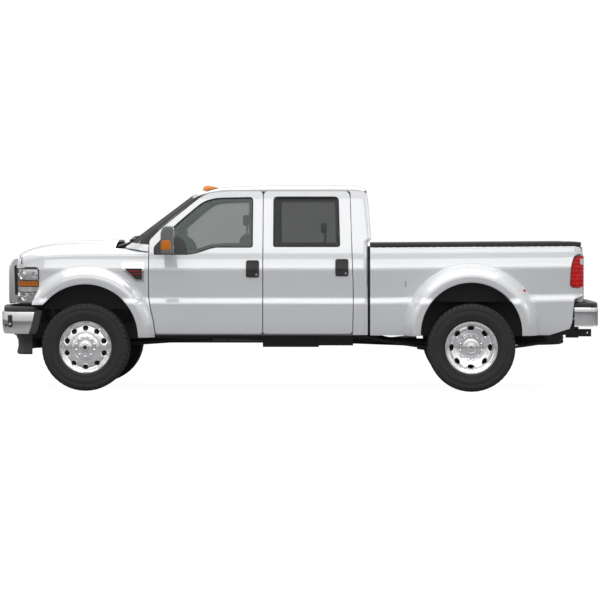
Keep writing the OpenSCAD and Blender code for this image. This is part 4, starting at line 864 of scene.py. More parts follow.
inner, inner_faces = merged_copy("cab")
x, y, z = inner.T
inner[:, 1] = np.where(np.abs(y) > 600, y - np.sign(y) * np.interp(z, [1300, 2050], [12, 22]), y)
inner[:, 2] = np.where(z > roof_z - 75, z - 34, z)
inner[:, 0] = np.where((x < cab_rear + 30) & (z > 900), x + 14,
                       np.where((x > front_x - 500) & (z > 1400), x - 25, x))
screen_front = (x > front_x - 1200) & (z > 1500) & (x > np.interp(z, [1540, 2018],
        [front_x - 560, front_x - 1160]))
inner[:, 0] = np.where(screen_front, inner[:, 0] - 42, inner[:, 0])
make("cab_inner", inner, inner_faces, white, "cab", crease=25, hold=True)
print("cab inner shell", len(inner), "points")

# %% [markdown]
# The roof is one grid: along it the crown rises from the windscreen and rolls down at the back,
# and across it a flattened superellipse turns the nearly flat top into the round side rails.

# %% Roof
crown_x = np.array([front_x - x for x in (1080, 1130, 1210, 1290, 1370, 1566, 1866, 2166, 2416,
                                          2616, 2766, 2830, 2868, 2888, 2896)])
crown_z = roof_z + np.array([-122, -98, -66, -42, -27, -14, -4, 0, 0, -2, -8, -17, -34, -56, -78.0])
rail_x = np.array([front_x - x for x in (1080, 1130, 1210, 1405, 2760, 2840, 2896)])
rail_z = roof_z + np.array([-150, -128, -96, -64, -64, -70, -92.0])

def screen_line(v):
    """How far back the windscreen's top and bottom edges sit at v, from -1 to 1 across: it is bowed."""
    return 12 * v ** 2

def roof_skin(drop, inset):
    """The roof: u runs back, a turns from side to side, and z = rail + (crown - rail) cos(a)^0.62."""
    u, a = np.meshgrid(np.linspace(0, 1, 70) ** 1.15, np.linspace(-np.pi / 2, np.pi / 2, 72),
                       indexing="ij")
    sa, ca = np.sin(a), np.cos(a)
    v = np.sign(sa) * np.abs(sa) ** 0.62
    x = (front_x - 1082 - inset - screen_line(v)) * (1 - u) + (front_x - 2896 + inset + 26 * v ** 4) * u
    crown, rail = np.interp(x, crown_x[::-1], crown_z[::-1]), np.interp(x, rail_x[::-1], rail_z[::-1])
    y = v * (side(rail) - inset)
    lift = np.abs(ca) ** 0.62
    z = rail + (crown - rail) * lift - drop
    return np.stack([x, y, z], -1)

points, faces = grid_shell(roof_skin(0, 0), roof_skin(12, 10))
make("roof_skin", points, faces, white, crease=50)
print("roof", len(points), "points")

# %% Windscreen, pillars and rear wall
screen_low = np.array([front_x - 474, hood_z0 - 2])
screen_high = np.array([front_x - 1084, roof_z - 120])

def screen_edge(t, side_out):
    """Half width of the windscreen at t, from 0 at the cowl to 1 at the roof."""
    return np.interp(t, [0, 1], [half_w - 178, half_w - 290]) + side_out

def screen_grid(back, side_out=0, low=-0.06, high=0.985):
    """The windscreen: a slanted plane bowed forward by 30 (1 - v^2), less towards the roof."""
    t, v = np.meshgrid(np.linspace(low, high, 30), np.linspace(1, -1, 50), indexing="ij")
    bow = 30 * (1 - v ** 2) * (1 - 0.45 * np.clip(t, 0, 1))
    x = screen_low[0] + (screen_high[0] - screen_low[0]) * t + bow - back * 0.61
    z = screen_low[1] + (screen_high[1] - screen_low[1]) * t - back * 0.79 - 6 * v ** 2
    return np.stack([x, v * screen_edge(t, side_out), z], -1)

make("windscreen", *grid_shell(screen_grid(4), screen_grid(10)), screen_glass, "cab_glass")
frame_path = np.concatenate([screen_grid(3)[:, 0], screen_grid(3)[-1, 1:-1], screen_grid(3)[::-1, -1],
                             screen_grid(3)[0, -2:0:-1]])
make("screen_seal", *swept(frame_path, oblong(-20, 20, -8, 7), (0.6, 0, 0.8), closed=True), seal_rubber)

def pillar_grid(drop, t0, t1):
    """The screen pillar: from the windscreen's edge round to the line above the front door."""
    t, w = np.meshgrid(np.linspace(t0, t1, 40), np.linspace(0, 1, 12), indexing="ij")
    z_in = screen_low[1] + (screen_high[1] - screen_low[1]) * t - 8
    x_in = screen_low[0] + (screen_high[0] - screen_low[0]) * t
    y_in = screen_edge(t, 4)
    seam_x = np.array([door_front + 9, door_front + 7, door_front - 96, door_front - 270,
                       door_front - 556])
    seam_z = np.array([belt_z - 40, belt_z + 60, belt_z + 200, belt_z + 346, top_z - 22])
    z_out = np.interp(t, [-0.12, 0.02, 0.3, 0.62, 1.02], seam_z)
    x_out = np.interp(t, [-0.12, 0.02, 0.3, 0.62, 1.02], seam_x)
    y_out = side(z_out)
    turn = np.sin(w * np.pi / 2)
    back = 1 - np.cos(w * np.pi / 2)
    x = x_in + (x_out - x_in) * back
    y = y_in + (y_out - y_in) * turn
    z = z_in + (z_out - z_in) * (w + back) / 2
    return np.stack([x, y - drop * turn, z - drop * (1 - turn)], -1)

pillar_foot = -0.02
both("screen_pillar", *grid_shell(pillar_grid(0, pillar_foot, 1.02),
                                  pillar_grid(11, pillar_foot, 1.02)), black_trim, crease=50)
both("pillar_foot", *grid_shell(pillar_grid(0, -0.12, pillar_foot),
                                pillar_grid(11, -0.12, pillar_foot)), white, crease=50)

# side skin behind and above the doors: the corner panel, with the rail strip over the doors
def rail_under(x):
    """Height of the roof rail at x."""
    return np.interp(x, rail_x[::-1], rail_z[::-1])

back_z = np.array([rocker_z, belt_z + 60, belt_z + 86, roof_z - 80, roof_z - 64])
back_x = cab_rear + np.array([0, 0, -38, 4, 10.0])
strip_x = np.linspace(door_front - 556, cab_rear + 20, 40)
corner = np.concatenate([
    [[door_rear - 9, rocker_z]], [[door_rear - 1, door_low]], [[door_rear - 9, ledge + 80]],
    [[door_rear + 27, top_z - 20], [door_rear + 44, top_z + 9]],
    [[door_mid + 420, top_z + 9], [door_front - 560, top_z - 20]],
    np.stack([strip_x, rail_under(strip_x) + 1], -1), np.stack([back_x, back_z], -1)[::-1]])
corner_sheet = cut_sheet(corner, [], 13, door_rows(corner))

def on_corner(depth):
    """The corner panel follows the side, and rolls in at the back of the cab."""
    def lift(p):
        back = np.interp(p[:, 1], back_z, back_x)
        roll = 42 * np.clip(1 - (p[:, 0] - back) / 48, 0, 1) ** 2.2
        return np.stack([p[:, 0], side(p[:, 1]) - depth - roll, p[:, 1]], -1)
    return lift

both("corner_panel", *panel(*corner_sheet, on_corner(0), on_corner(13)), white, crease=32)

wall_outline = np.array([(-half_w + 36, rocker_z + 260), (half_w - 36, rocker_z + 260),
                         (side(belt_z) - 40, belt_z), (side(roof_z - 90) - 40, roof_z - 84),
                         (-side(roof_z - 90) + 40, roof_z - 84), (-side(belt_z) + 40, belt_z)])
rear_hole = rounded([(-half_w + 352, belt_z + 112), (half_w - 352, belt_z + 112),
                     (half_w - 372, roof_z - 156), (-half_w + 372, roof_z - 156)], 46)

def on_rear_wall(depth):
    """Lifts (y, z) points onto the cab's rear wall, depth millimetres forward of it."""
    return lambda p: np.stack([np.interp(p[:, 1], back_z, back_x) + depth + 2, p[:, 0], p[:, 1]], -1)

make("cab_rear_wall", *plate(wall_outline, 24, on_rear_wall, 0, 9, [rear_hole]), white)
make("rear_glass", *plate(grown(rear_hole, -2), 40, on_rear_wall, 3, 8), dark_glass)
ring = on_rear_wall(0)(subdivided(grown(rear_hole, 4), 16))
make("rear_glass_seal", *swept(ring, oblong(-12, 12, -3, 4), (1, 0, 0), closed=True), seal_rubber)
print("cab skins made")

# %% [markdown]
# The side windows sit in black rubber: a thin bead follows each opening just proud of the glass.
# A second, wider seal lies deep in each door gap: a door has such a seal, and its black also stands in
# for the shade down in the gap, so that the gap reads as a dark line.

# %% Window beads, and door seals that also paint the gaps' shade
def bead(outline, depth, section, step=16):
    """A section carried round an outline on the body side, depth millimetres in from the skin."""
    p = subdivided(outline, step)
    return swept(on_side(depth)(p), section, (0, 1, 0), closed=True)

for end, outline, window in (("front", front_door, front_window), ("rear", rear_door, rear_window)):
    both(f"{end}_window_bead", *bead(grown(window, -5), 11, oblong(-7, 7, -6, 5)), seal_rubber,
         body=end + "_{side}_door")
    # The door seal is partly painted shade: its black darkens the deep door gap where shade falls.
    both(f"{end}_door_seal", *bead(grown(outline, -14), 26, oblong(-15, 15, -5, 5), 26),
         seal_rubber, body=end + "_{side}_door")
print("beads and seals made")

# %% [markdown]
# The bed's sides carry on the cab's profile. Over the twin wheels the flare stands out more than
# twice as far as the front one, and behind it the skin tucks in round the tail lamp.

# %% Bed sides
bed_corner = cad("bed_sides")[0][0]
rail_top = cad("bed_sides")[1][2]

def tuck(x):
    """How far the skin turns in towards the tail."""
    return 50 * np.clip((bed_corner + 110 - x) / 110, 0, None) ** 2

def rake(x, z):
    """The bed rides a little tail-high: all but its arch climbs towards the tail."""
    climb = np.interp(z, [700, 960, 1270, 1500], [0, 42, 20, 14]) * np.clip((bed_front - x) / 2190,
            0, 1)
    return climb * np.clip((np.hypot(x - rear_arch[0],
                                     np.maximum(z - rear_arch[1], 0)) - rear_arch_r - 30) / 190, 0,
                           1)

def on_bed(depth):
    """Lifts (x, z) points onto the bed side; over the arch it bulges into the wide flare."""
    def lift(p):
        x, z = p[:, 0], p[:, 1]
        y = side(z) + flare(x, z, rear_arch, rear_arch_r, 215) - tuck(x) - depth
        lean = 18 * np.clip((z - rail_top + 20) / 20, 0, 1) ** 2
        return np.stack([x, y - lean, z + rake(x, z)], -1)
    return lift

bed_foot = rocker_z - 4
lamp_low, lamp_high = bumper_top + 160, bumper_top + 512
arch_turn = np.linspace(0, np.pi, 100)
bed_outline = np.concatenate([[[bed_corner + 350, bed_foot + 4],
                               [bed_corner + 142, bumper_top - 234],
                               [bed_corner + 118, bumper_top - 170],
                               [bed_corner + 96, bumper_top + 38],
                               [bed_corner + 8, bumper_top + 66],
                               [bed_corner + 1, bumper_top + 110], [bed_corner + 1, rail_top - 130],
                               [bed_corner + 20, rail_top - 56], [bed_corner + 46, rail_top - 1],
                               [bed_front - 1, rail_top - 1], [bed_front - 1, bed_foot],
                               [rear_x + rear_arch_r, bed_foot]],
                              rear_arch + rear_arch_r * np.stack([np.cos(arch_turn),
        np.sin(arch_turn)], -1), [[rear_x - rear_arch_r, bed_foot + 4]]])
tail_hole = rounded(at((bed_corner, 0), [(-60, lamp_low - 3), (124, lamp_low - 3),
                                         (137, lamp_low + 30), (125, lamp_high - 112),
                                         (94, lamp_high - 20), (50, lamp_high + 3),
                                         (-60, lamp_high + 3)]), [1, 18, 30, 60, 60, 30, 1])
sheet, tris = cut_sheet(bed_outline, [], 12.5, fender_points(
    rear_arch, rear_arch_r, bed_foot, rail_top, bed_corner, bed_front))
tris = tris[~inside(sheet[tris].mean(1), tail_hole)]
bed_skin = panel(sheet, tris, on_bed(0), on_bed(12))
both("bed_skin", *bed_skin, white, crease=36)
rear_lip = lip_strip(on_bed(4), rear_arch, rear_arch_r, bed_foot, bed_foot, 95)
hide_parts("bed_sides")
both("rear_arch_lip", *rear_lip, white)
print("bed side", len(bed_skin[0]), "points")

# %% Bed rails, floor ribs and front wall
bed_in = half_w - 190.0

def ring_of(x0, x1, y0, y1, z0, z1):
    """A plain box given by its corners; most trim below is made of these."""
    g = np.array([(x, y, z) for x in (x0, x1) for y in (y0, y1) for z in (z0, z1)], float)
    f = np.array([(0, 1, 3, 2), (4, 6, 7, 5), (0, 4, 5, 1), (2, 3, 7, 6), (0, 2, 6, 4), (1, 5, 7, 3)])
    return g, [f]

rail_y = float(side(rail_top)) - 12
rail_path = np.stack([np.linspace(bed_front - 6, bed_corner + 40, 60)] * 3, -1)
rail_path[:, 1] = rail_y - 56 - tuck(rail_path[:, 0]) * 0.6
rail_path[:, 2] = rail_top + rake(rail_path[:, 0],
                                  rail_top) - 16 * np.clip((bed_corner + 150 - rail_path[:,
        0]) / 140, 0, 1) ** 2
cap = rounded([(-72, -16), (62, -16), (66, -6), (66, 30), (56, 42), (-62, 42), (-72, 34)], 9, 4)
both("bed_rail_cap", *swept(rail_path, cap), black_trim, crease=40)
make("bed_front_cap", *joined(ring_of(bed_front - 56, bed_front - 6, -rail_y + 10, rail_y - 10,
                                      rail_top + 2, rail_top + 38)), black_trim)
rib_y = np.arange(-8, 9) * 92.0
ribs = joined(*[ring_of(bed_rear + 64, bed_front - 46, y - 26, y + 26, axle_z + 524,
                        axle_z + 533) for y in rib_y if abs(y) < 470],
              *[ring_of(rear_x + s * 610 - 190, rear_x + s * 610 + 130, y - 26, y + 26,
                        axle_z + 524, axle_z + 533) for y in rib_y if abs(y) > 470 for s in (-1,
        1)])
make("bed_floor_ribs", *ribs, white, hold=True)
posts = ring_of(bed_corner + 4, bed_corner + 60, bed_in + 14, bed_in + 60, bumper_top + 60,
                rail_top - 4)
both("bed_rear_post", *posts, white)

# %% [markdown]
# The tailgate is one pressed sheet on a frame, with a wide shallow panel pressed into its outside
# and a black latch handle in a recess. The badge place beside the latch is left bare.

# %% Tailgate
gate_low_z, gate_high_z = cad("tailgate")[0][2], cad("tailgate")[1][2]
gate_half = cad("tailgate")[1][1]
gate_face = cad("tailgate")[0][0]
gate_hole = rounded(oblong(-112, 112, gate_high_z - 142, gate_high_z - 66), 14)
gate_outline = rounded(oblong(-gate_half, gate_half, gate_low_z, gate_high_z), 16)

def on_gate(depth):
    """The tailgate's outer sheet, with its pressed panel and a rolled top."""
    def lift(p):
        y, z = p.T
        edge = np.minimum(gate_half - 120 - np.abs(y),
                          np.minimum(z - gate_low_z - 70, gate_high_z - 190 - z))
        press = 9 / (1 + np.exp(-edge / 5))
        top = np.interp(z - gate_high_z, [-120, -54, 0], [0, 12, 30])
        return np.stack([gate_face + 1 + press + top + depth, y, z], -1)
    return lift

make("tailgate_skin", *panel(*cut_sheet(gate_outline, [gate_hole], 16), on_gate(0),
                             lambda p: on_gate(0)(p) * [0, 1, 1] + [gate_face + 47, 0, 0]), white,
     "tailgate", "tailgate", crease=30)
cup = joined(ring_of(gate_face + 20, gate_face + 26, -111, 111, gate_high_z - 141, gate_high_z - 67))
make("tailgate_recess", *cup, black_trim, body="tailgate")
make("tailgate_handle", *box_slab((gate_face + 3, gate_face + 20), (-92, 92),
                                  (gate_high_z - 126, gate_high_z - 84), 5), black_trim,
     body="tailgate")
gate_cap = swept([(gate_face + 40, y, gate_high_z - 6) for y in np.linspace(-gate_half + 14,
        gate_half - 14, 12)], rounded(oblong(-10, 10, -2, 5), 3, 4))
make("tailgate_cap", *gate_cap, black_trim, body="tailgate", crease=40)
print("tailgate made")

# %% [markdown]
# Each tail lamp wraps round the bed's corner: a clear red shell over a grid of small lens ribs,
# with a clear reversing section in its upper rear part.

# %% Tail lamps
def lens(name, colour, alpha=1.0, ribs=0.0, across=2, glow=0.0):
    """A moulded lens: coloured, glossy, with ribs along one axis pressed into its back."""
    f = Finish(name)
    parts = f.node("ShaderNodeSeparateXYZ", None, {0: f.place()}, across)
    wave = (parts * ribs).sine() if ribs else f.noise(60.0)
    return f.surface(Base_Color=f.mix(wave * 0.22 + 0.22, rgb(*colour),
                                      rgb(*[c * 0.45 for c in colour])),
                     Roughness=f.noise(4.0) * 0.04 + 0.1, Alpha=alpha, Coat_Weight=0.3,
                     Specular_IOR_Level=0.3, Emission_Color=rgb(*colour), Emission_Strength=glow,
                     Normal=f.bump(wave, 0.35, 0.002))

red_lens = lens("lamp_red", (0.56, 0.002, 0.004), ribs=150.0, glow=0.2)
clear_lens = lens("lamp_clear", (0.92, 0.93, 0.94), ribs=380.0, across=1)
amber_lens = lens("lamp_amber", (0.78, 0.21, 0.006), ribs=520.0, across=0, glow=0.06)
smoke_lens = lens("lamp_smoke", (0.86, 0.80, 0.70), ribs=300.0)

lamp_shape = rounded(at((bed_corner, 0), [(-10, lamp_low), (121, lamp_low), (133, lamp_low + 30),
                                          (121, lamp_high - 112), (91, lamp_high - 22),
                                          (50, lamp_high), (-10, lamp_high)]),
                     [1, 18, 30, 60, 60, 30, 1])

def tail_plan(s):
    """The lamp's plan: s runs from the bed side round the corner to the tailgate's edge."""
    way = np.array(at((bed_corner, 0), [(134, half_w - 35), (60, half_w - 47), (16, half_w - 80),
                                        (-9, half_w - 112), (-11, bed_in + 30)]))
    way = np.concatenate([way[:1], rounded(way, 24, 5)[5:-5], way[-1:]])
    d = np.concatenate([[0], np.cumsum(np.linalg.norm(np.diff(way, axis=0), axis=1))])
    return np.stack([np.interp(s * d[-1], d, way[:, k]) for k in (0, 1)], -1)

def tail_grid(shrink, low, high, s0=0.0):
    """The tail lamp from height low to high: its plan at each height, drawn in by shrink."""
    s, t = np.meshgrid(np.linspace(s0, 1, 36), np.linspace(0, 1, 24), indexing="ij")
    plan = tail_plan(s)
    z = low + (high - low) * t
    cut = np.interp(z, [lamp_low, lamp_low + 30, lamp_high - 112, lamp_high - 22, lamp_high],
                    [121, 133, 121, 91, 50])
    x = np.minimum(plan[..., 0], bed_corner + cut)
    soft = 5 * (np.abs(2 * t - 1) ** 8 + np.abs(2 * s - 1) ** 12)
    y = plan[..., 1] - shrink * (1 - s) * 1.2 - soft * (s < 0.6)
    return np.stack([x + shrink * s, y, z], -1)

cell_h = (lamp_high - lamp_low) / 4
for part, finish, low, high, s0 in (("low", red_lens, lamp_low + 1, lamp_high - 1, 0.0),
                                    ("clear", clear_lens, lamp_low + 3.0 * cell_h,
                                     lamp_low + 3.7 * cell_h, 0.5)):
    proud = 0 if part == "low" else -2.5
    both("tail_lamp_" + part, *grid_shell(tail_grid(proud, low, high, s0),
                                          tail_grid(16, low, high, s0)), finish, slot="lamp_red",
         crease=40)
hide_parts("tail_lamps")
both("tail_lamp_back", *grid_shell(tail_grid(17, lamp_low - 2, lamp_high + 2),
                                   tail_grid(24, lamp_low - 2, lamp_high + 2)), black_trim)
rings = []
for k in range(4):
    z = lamp_low + (k + 0.5) * cell_h
    c = tail_grid(-1.5, z - 1, z + 1)[9, 0]
    rings.append(turned([(20, -6), (30, -6), (31, -1), (27, 2), (20, 0), (10, -5), (1, -4),
                         (1, -8)], (0, 0, 0), 32))
    rings[-1] = (rings[-1][0] @ np.array([[0.94, -0.34, 0], [0.34, 0.94, 0], [0, 0, 1.0]]) + c,
                 rings[-1][1])
both("tail_lamp_cells", *joined(*rings), red_lens, crease=50)
edge = np.array([(x, z) for x, z in grown(lamp_shape, 3) if x > bed_corner + 12])
edge = edge[np.argsort(edge[:, 1])]
dark_edge = swept(on_bed(-1)(edge[::-1]), oblong(-4, 4, -6, 3), (0, 1, 0))
both("tail_lamp_edge", *dark_edge, black_trim)
print("tail lamps made")

# %% Rear bumper
bumper_half = cad("rear_bumper")[1][1]
bumper_foot = cad("rear_bumper")[0][2]
step_way = np.array(at((tail_x, 0), [(268, -bumper_half + 14), (126, -bumper_half + 1),
                                     (70, -bumper_half + 5), (37, -bumper_half + 51),
                                     (7, -half_w + 260), (1, -half_w + 420), (1, half_w - 420),
                                     (7, half_w - 260), (37, bumper_half - 51),
                                     (70, bumper_half - 5), (126, bumper_half - 1),
                                     (268, bumper_half - 14)]))
step_round = way_of(step_way, 34)
shell_cut = [(0, 2), (-4, 10), (0, 26), (-1, 150), (0, 176), (-6, 196), (-60, 198), (-60, 192),
             (-10, 190), (-8, 20), (-30, 6), (-34, 0), (-6, -1)]
step_path = np.column_stack([step_round, np.full(len(step_round), bumper_foot)])
make("rear_bumper_bar", *swept(step_path, [(-a, b) for a, b in shell_cut]), chrome, "rear_bumper",
     crease=32)
pad = rounded([(-1, 197), (-6, 238), (-14, 248), (-104, 248), (-104, 226), (-52, 200)], 6, 4)
make("rear_bumper_pad", *swept(step_path * [1, 0.985, 1], pad * [-1, 1]), black_trim, crease=40)
make("rear_plate_blank", *ring_of(tail_x + 4, tail_x + 10, -152, 152, bumper_foot + 30,
                                  bumper_foot + 180), white)
print("rear bumper made")

# %% [markdown]
# A tyre is one profile turned round its axle, then cut: round grooves come from the profile, and
# across them every lug starts with a narrow slot that runs out over the shoulder. The slots are
# only a change of radius with angle, so the whole tyre stays one grid.

# %% Tyres
lugs = 48
slot_at = np.array([0, 0.05, 0.24, 0.29, 0.62])

def tyre_profile(r, w, bead):
    """The tyre's outline, from the inner bead over the tread to the outer bead, then back inside."""
    h = w / 2
    tread = [(0.62, -22), (0.86, -9), (0.9, -5), (0.78, -1), (0.66, 0), (0.645, 0), (0.63, 9),
             (0.55, 9), (0.535, 0), (0.42, 0), (0.30, 0), (0.285, 0), (0.27, 9), (0.21, 9),
             (0.195, 0), (0.08, 0), (0.06, 0)]
    right = np.array([(r + drop * -1 if drop > 0 else r + drop, f * h) for f, drop in tread[4:]])
    half = np.array([(bead + 1, h * 0.80), (bead + 12, h * 0.90), (bead + 22, h * 0.93),
                     (bead + 27, h * 0.90), (bead + 44, h * 0.95), (bead + 74, h * 0.985),
                     (bead + 92, h * 1.0), (bead + 96, h * 0.985), (bead + 118, h * 0.985),
                     (bead + 122, h * 1.0), (r - 40, h * 0.99), (r - 24, h * 0.965),
                     (r - 12, h * 0.93), (r - 4, h * 0.87), (r - 1, h * 0.80), (r, h * 0.72)])
    out = np.concatenate([half, right])
    inner = np.array([(bead + 1, h * 0.62), (bead + 40, h * 0.86), (r - 44, h * 0.88),
                      (r - 26, h * 0.6), (r - 22, 0)])
    loop = np.concatenate([out, (out * [1, -1])[::-1], (inner * [1, -1]), inner[::-1][1:]])
    return loop

def tyre(place, r=tyre_r, w=270.0, bead=274.0, axis="y", seed=0.0):
    """A tyre at place; slots cut the tread's sides and fade out down the shoulder."""
    p = tyre_profile(r, w, bead)
    k = np.arange(lugs * len(slot_at))
    f = slot_at[k % len(slot_at)]
    a = (k // len(slot_at) + f + seed) * 2 * np.pi / lugs
    in_slot = ((f > 0.02) & (f < 0.27))[:, None]
    along = np.abs(p[None, :, 1]) / (w / 2)
    reach = np.clip((along - 0.60) / 0.05, 0, 1) * np.clip((p[None, :, 0] - r + 36) / 16, 0, 1)
    outer = np.arange(len(p)) < len(p) - 9
    radius = p[None, :, 0] - 9 * in_slot * reach * outer
    twist = 0.045 * np.sign(p[None, :, 1]) * np.clip((along - 0.2) * 1.4, 0, 1)
    a, y = a[:, None] + twist * (p[None, :, 0] > r - 20), p[None, :,
                                                            1] - 4 * np.sign(p[None, :,
            1]) * in_slot * reach
    parts = (radius * np.cos(a), y, radius * np.sin(a)) if axis == "y" else (radius * np.cos(a),
            radius * np.sin(a), y)
    rows, cols = radius.shape
    grid = np.stack(np.broadcast_arrays(*parts), -1).reshape(-1, 3)
    return grid + place, [grid_faces(rows, cols, True, True)]

both("front_tyre", *tyre((front_x, front_tyre_y, axle_z)), tyre_rubber, "front_{side}_tyre",
     "front_{side}_wheel", crease=38)
twin_out, twin_in = twin_y + 155, twin_y - 155
twins = joined(tyre((rear_x, twin_out, axle_z)), tyre((rear_x, twin_in, axle_z), seed=0.5))
both("rear_tyres", *twins, tyre_rubber, "rear_{side}_tyres", "rear_{side}_wheels", crease=38)
spare_low, spare_high = cad("spare_wheel")
spare_at = (spare_low + spare_high) / 2
spare = tyre(spare_at, (spare_high - spare_low)[0] / 2, (spare_high - spare_low)[2], 262.0, "z")
make("spare_tyre", *spare, tyre_rubber, "spare_wheel", crease=38)
print("tyre points", len(twins[0]) // 2)

# %% [markdown]
# Both polished rims have a disc with oval windows. Each disc is cut flat, windows and all, and
# then pushed out of the plane by a profile of its distance from the axle. Front rims bulge
# outwards over the hub. The rear rims are the same kind turned round, so they are deep dishes
# with the axle's hub standing in the middle.

# %% Rims
def circle(r, n=120):
    """n points on a circle of radius r."""
    a = np.linspace(0, 2 * np.pi, n, endpoint=False)
    return np.stack([r * np.cos(a), r * np.sin(a)], -1)

def windows(count, r, long, tall):
    """Oval holes round the disc; the first one is at the top."""
    holes = []
    for k in range(count):
        a = np.pi / 2 + 2 * np.pi * k / count
        oval = circle(1, 28) * [tall / 2, long / 2]
        turn = np.array([[np.cos(a), np.sin(a)], [-np.sin(a), np.cos(a)]])
        holes.append((oval + [r, 0]) @ turn)
    return holes

def disc(profile, holes, thick, place, bore=24, edge=256):
    """The rim's disc: profile holds (radius, along) pairs; holes get a rounded edge."""
    flat, tris = cut_sheet(circle(edge, 132), [*holes, circle(bore, 36)], 8)
    r_table, y_table = np.array(profile, float).T
    near = np.full(len(flat), 1e9)
    for hole in holes:
        near = np.minimum(near, np.linalg.norm(flat[:, None] - subdivided(hole, 6)[None],
                                               axis=2).min(1))
    soft = 6 * np.clip(1 - near / 9, 0, 1) ** 2
    def face(y_off, round_edge):
        def lift(p):
            y = np.interp(np.hypot(*p.T), r_table, y_table) + y_off - soft * round_edge
            return np.stack([p[:, 0], y, p[:, 1]], -1) + place
        return lift
    return panel(flat, tris, face(0, 1), face(-thick, 0))

def studs(count, r, y, place, size=12.5, tall=26, phase=0.5):
    """Lug nuts: a short tapered nut with a domed end, repeated round the hub."""
    nut = [(1, -2), (size + 3, -2), (size + 3, 3), (size, 5), (size * 0.94, tall * 0.7),
           (size * 0.7, tall * 0.92), (1, tall)]
    one, faces = turned(nut, (0, 0, 0), 12)
    a = 2 * np.pi * (np.arange(count) + phase) / count
    return joined(*[(one + [r * np.cos(t), y, r * np.sin(t)] + place, faces) for t in a])

def barrel(place, lip_y, inner_y, edge=272.0):
    """The rim's barrel with a rolled lip at each end."""
    s = np.sign(lip_y)
    p = np.array(at((edge, 0), [(0, lip_y - s * 2), (-3, lip_y), (-9, lip_y), (-13, lip_y - s * 4),
                                (-17, lip_y - s * 12), (-24, lip_y - s * 15), (-27, lip_y - s * 22),
                                (-29, lip_y - s * 60), (-42, lip_y - s * 70),
                                (-42, inner_y + s * 30), (-26, inner_y + s * 14), (-6, inner_y),
                                (0, inner_y), (0, inner_y + s * 4), (-20, inner_y + s * 18),
                                (-36, inner_y + s * 36), (-36, lip_y - s * 74),
                                (-8, lip_y - s * 50), (-3, lip_y - s * 8)]))
    return turned(p, place, 128)

hub_at = np.array([front_x, front_tyre_y, axle_z])
front_face = [(24, 122), (56, 122), (60, 117), (118, 115), (126, 112), (131, 104), (140, 103),
              (165, 101), (200, 92), (228, 74), (236, 66), (240, 72), (250, 78), (256, 78)]
front_rim = joined(disc(front_face, windows(10, 200, 57, 50), 11, hub_at), barrel(hub_at, 110, -110))
both("front_rim", *front_rim, polished, "front_{side}_rim", "front_{side}_wheel", crease=30)
front_cap = turned([(1, 112), (56, 112), (56, 132), (53, 137), (50, 139), (40, 140), (36, 146),
                    (34, 150), (21, 151.5), (19, 149), (1, 149)], hub_at, 64)
front_hub = joined(studs(10, 97, 113, hub_at), front_cap)
both("front_lugs", *front_hub, chrome, body="front_{side}_wheel")
both("front_cap_centre", *turned([(1, 148), (19, 148), (19, 151), (12, 152.5), (1, 152.5)], hub_at,
                                 32), black_trim, body="front_{side}_wheel")
back_plate = turned([(60, 10), (234, 10), (234, 22), (60, 30)], hub_at, 72)
both("front_brake_disc", *back_plate, cast_iron, body="front_{side}_wheel", slot="steel")

def rear_face(s):
    """The rear disc's (radius, along) pairs; s is 1 for the outer wheel and -1 for the inner."""
    return [(24, -97 * s), (118, -97 * s), (122, -93 * s), (138, -92 * s), (142, -86 * s),
            (158, -84 * s), (166, -78 * s), (197, -66 * s), (226, -44 * s), (230, -34 * s),
            (240, -30 * s), (256, -30 * s)]

out_at, in_at = np.array([rear_x, twin_out, axle_z]), np.array([rear_x, twin_in, axle_z])
ovals = windows(8, 197, 68, 43)
rear_rims = joined(disc(rear_face(1), ovals, 12, out_at, edge=238), barrel(out_at, 112, -112),
                   disc(rear_face(-1), ovals, 12, in_at, edge=238), barrel(in_at, -112, 112))
both("rear_rims", *rear_rims, polished, "rear_{side}_rims", "rear_{side}_wheels", crease=30)
rear_cap = turned([(1, -98), (94, -98), (94, -40), (90, -34), (86, -32), (60, -29), (56, -22),
                   (30, -18), (21, -16), (20, 2), (17, 6), (1, 6)], out_at, 64)
rear_hub = joined(studs(10, 112, -96, out_at, 13, 30), rear_cap)
both("rear_lugs", *rear_hub, chrome, body="rear_{side}_wheels")
drum = turned([(60, -150), (205, -150), (214, -140), (214, -60), (205, -50), (60, -50)],
              out_at - [0, 110, 0], 72)
both("rear_brake_drum", *drum, cast_iron, body="rear_{side}_wheels", slot="steel")
spare_rim = turned([(60, -30), (190, -30), (215, -70), (250, -96), (262, -100), (262, 100),
                    (250, 96), (232, 60), (232, -20), (200, -12), (60, -12)], spare_at, 96, "z")
make("spare_rim", *spare_rim, steel)
print("rims", len(rear_rims[0]), "points; lugs", len(rear_hub[0]))

# %% [markdown]
# The mirror heads are tall, for towing: a rounded grey housing on two arms, with a square amber
# lamp on its outer end and two glasses, one wide-angled, in its rear face. A dark sail panel
# fills the front corner of the window behind it.

# %% Tow mirrors
head_x, head_y = (door_front - 274, door_front - 139), (half_w + 79, half_w + 309)
m0, m1 = belt_z - 70, belt_z + 222
head_shape = rounded([(head_x[0], m0 + 8), (head_x[0] + 30, m0), (head_x[1] - 8, m0 + 4),
                      (head_x[1], m0 + 60), (head_x[1] - 2, m1 - 60), (head_x[1] - 32, m1),
                      (head_x[0] + 22, m1), (head_x[0], m1 - 24)], [6, 20, 20, 60, 70, 44, 24, 20])
both("mirror_head", *slab(head_shape, *head_y, 24, "xzy", 6), mirror_grey, "{side}_mirror",
     "front_{side}_door", crease=40)
amber = rounded(oblong(head_x[0] + 26, head_x[1] - 8, m0 + 50, m0 + 148), 14)
both("mirror_amber", *slab(amber, head_y[1] - 22, head_y[1] + 0.8, 4, "xzy"), amber_lens,
     body="front_{side}_door")
frame_shape = rounded(oblong(head_x[0] + 22, head_x[1] - 4, m0 + 46, m0 + 152), 16)
both("mirror_amber_frame", *slab(frame_shape, head_y[1] - 24, head_y[1] - 0.6, 3, "xzy"), grey_trim,
     body="front_{side}_door")

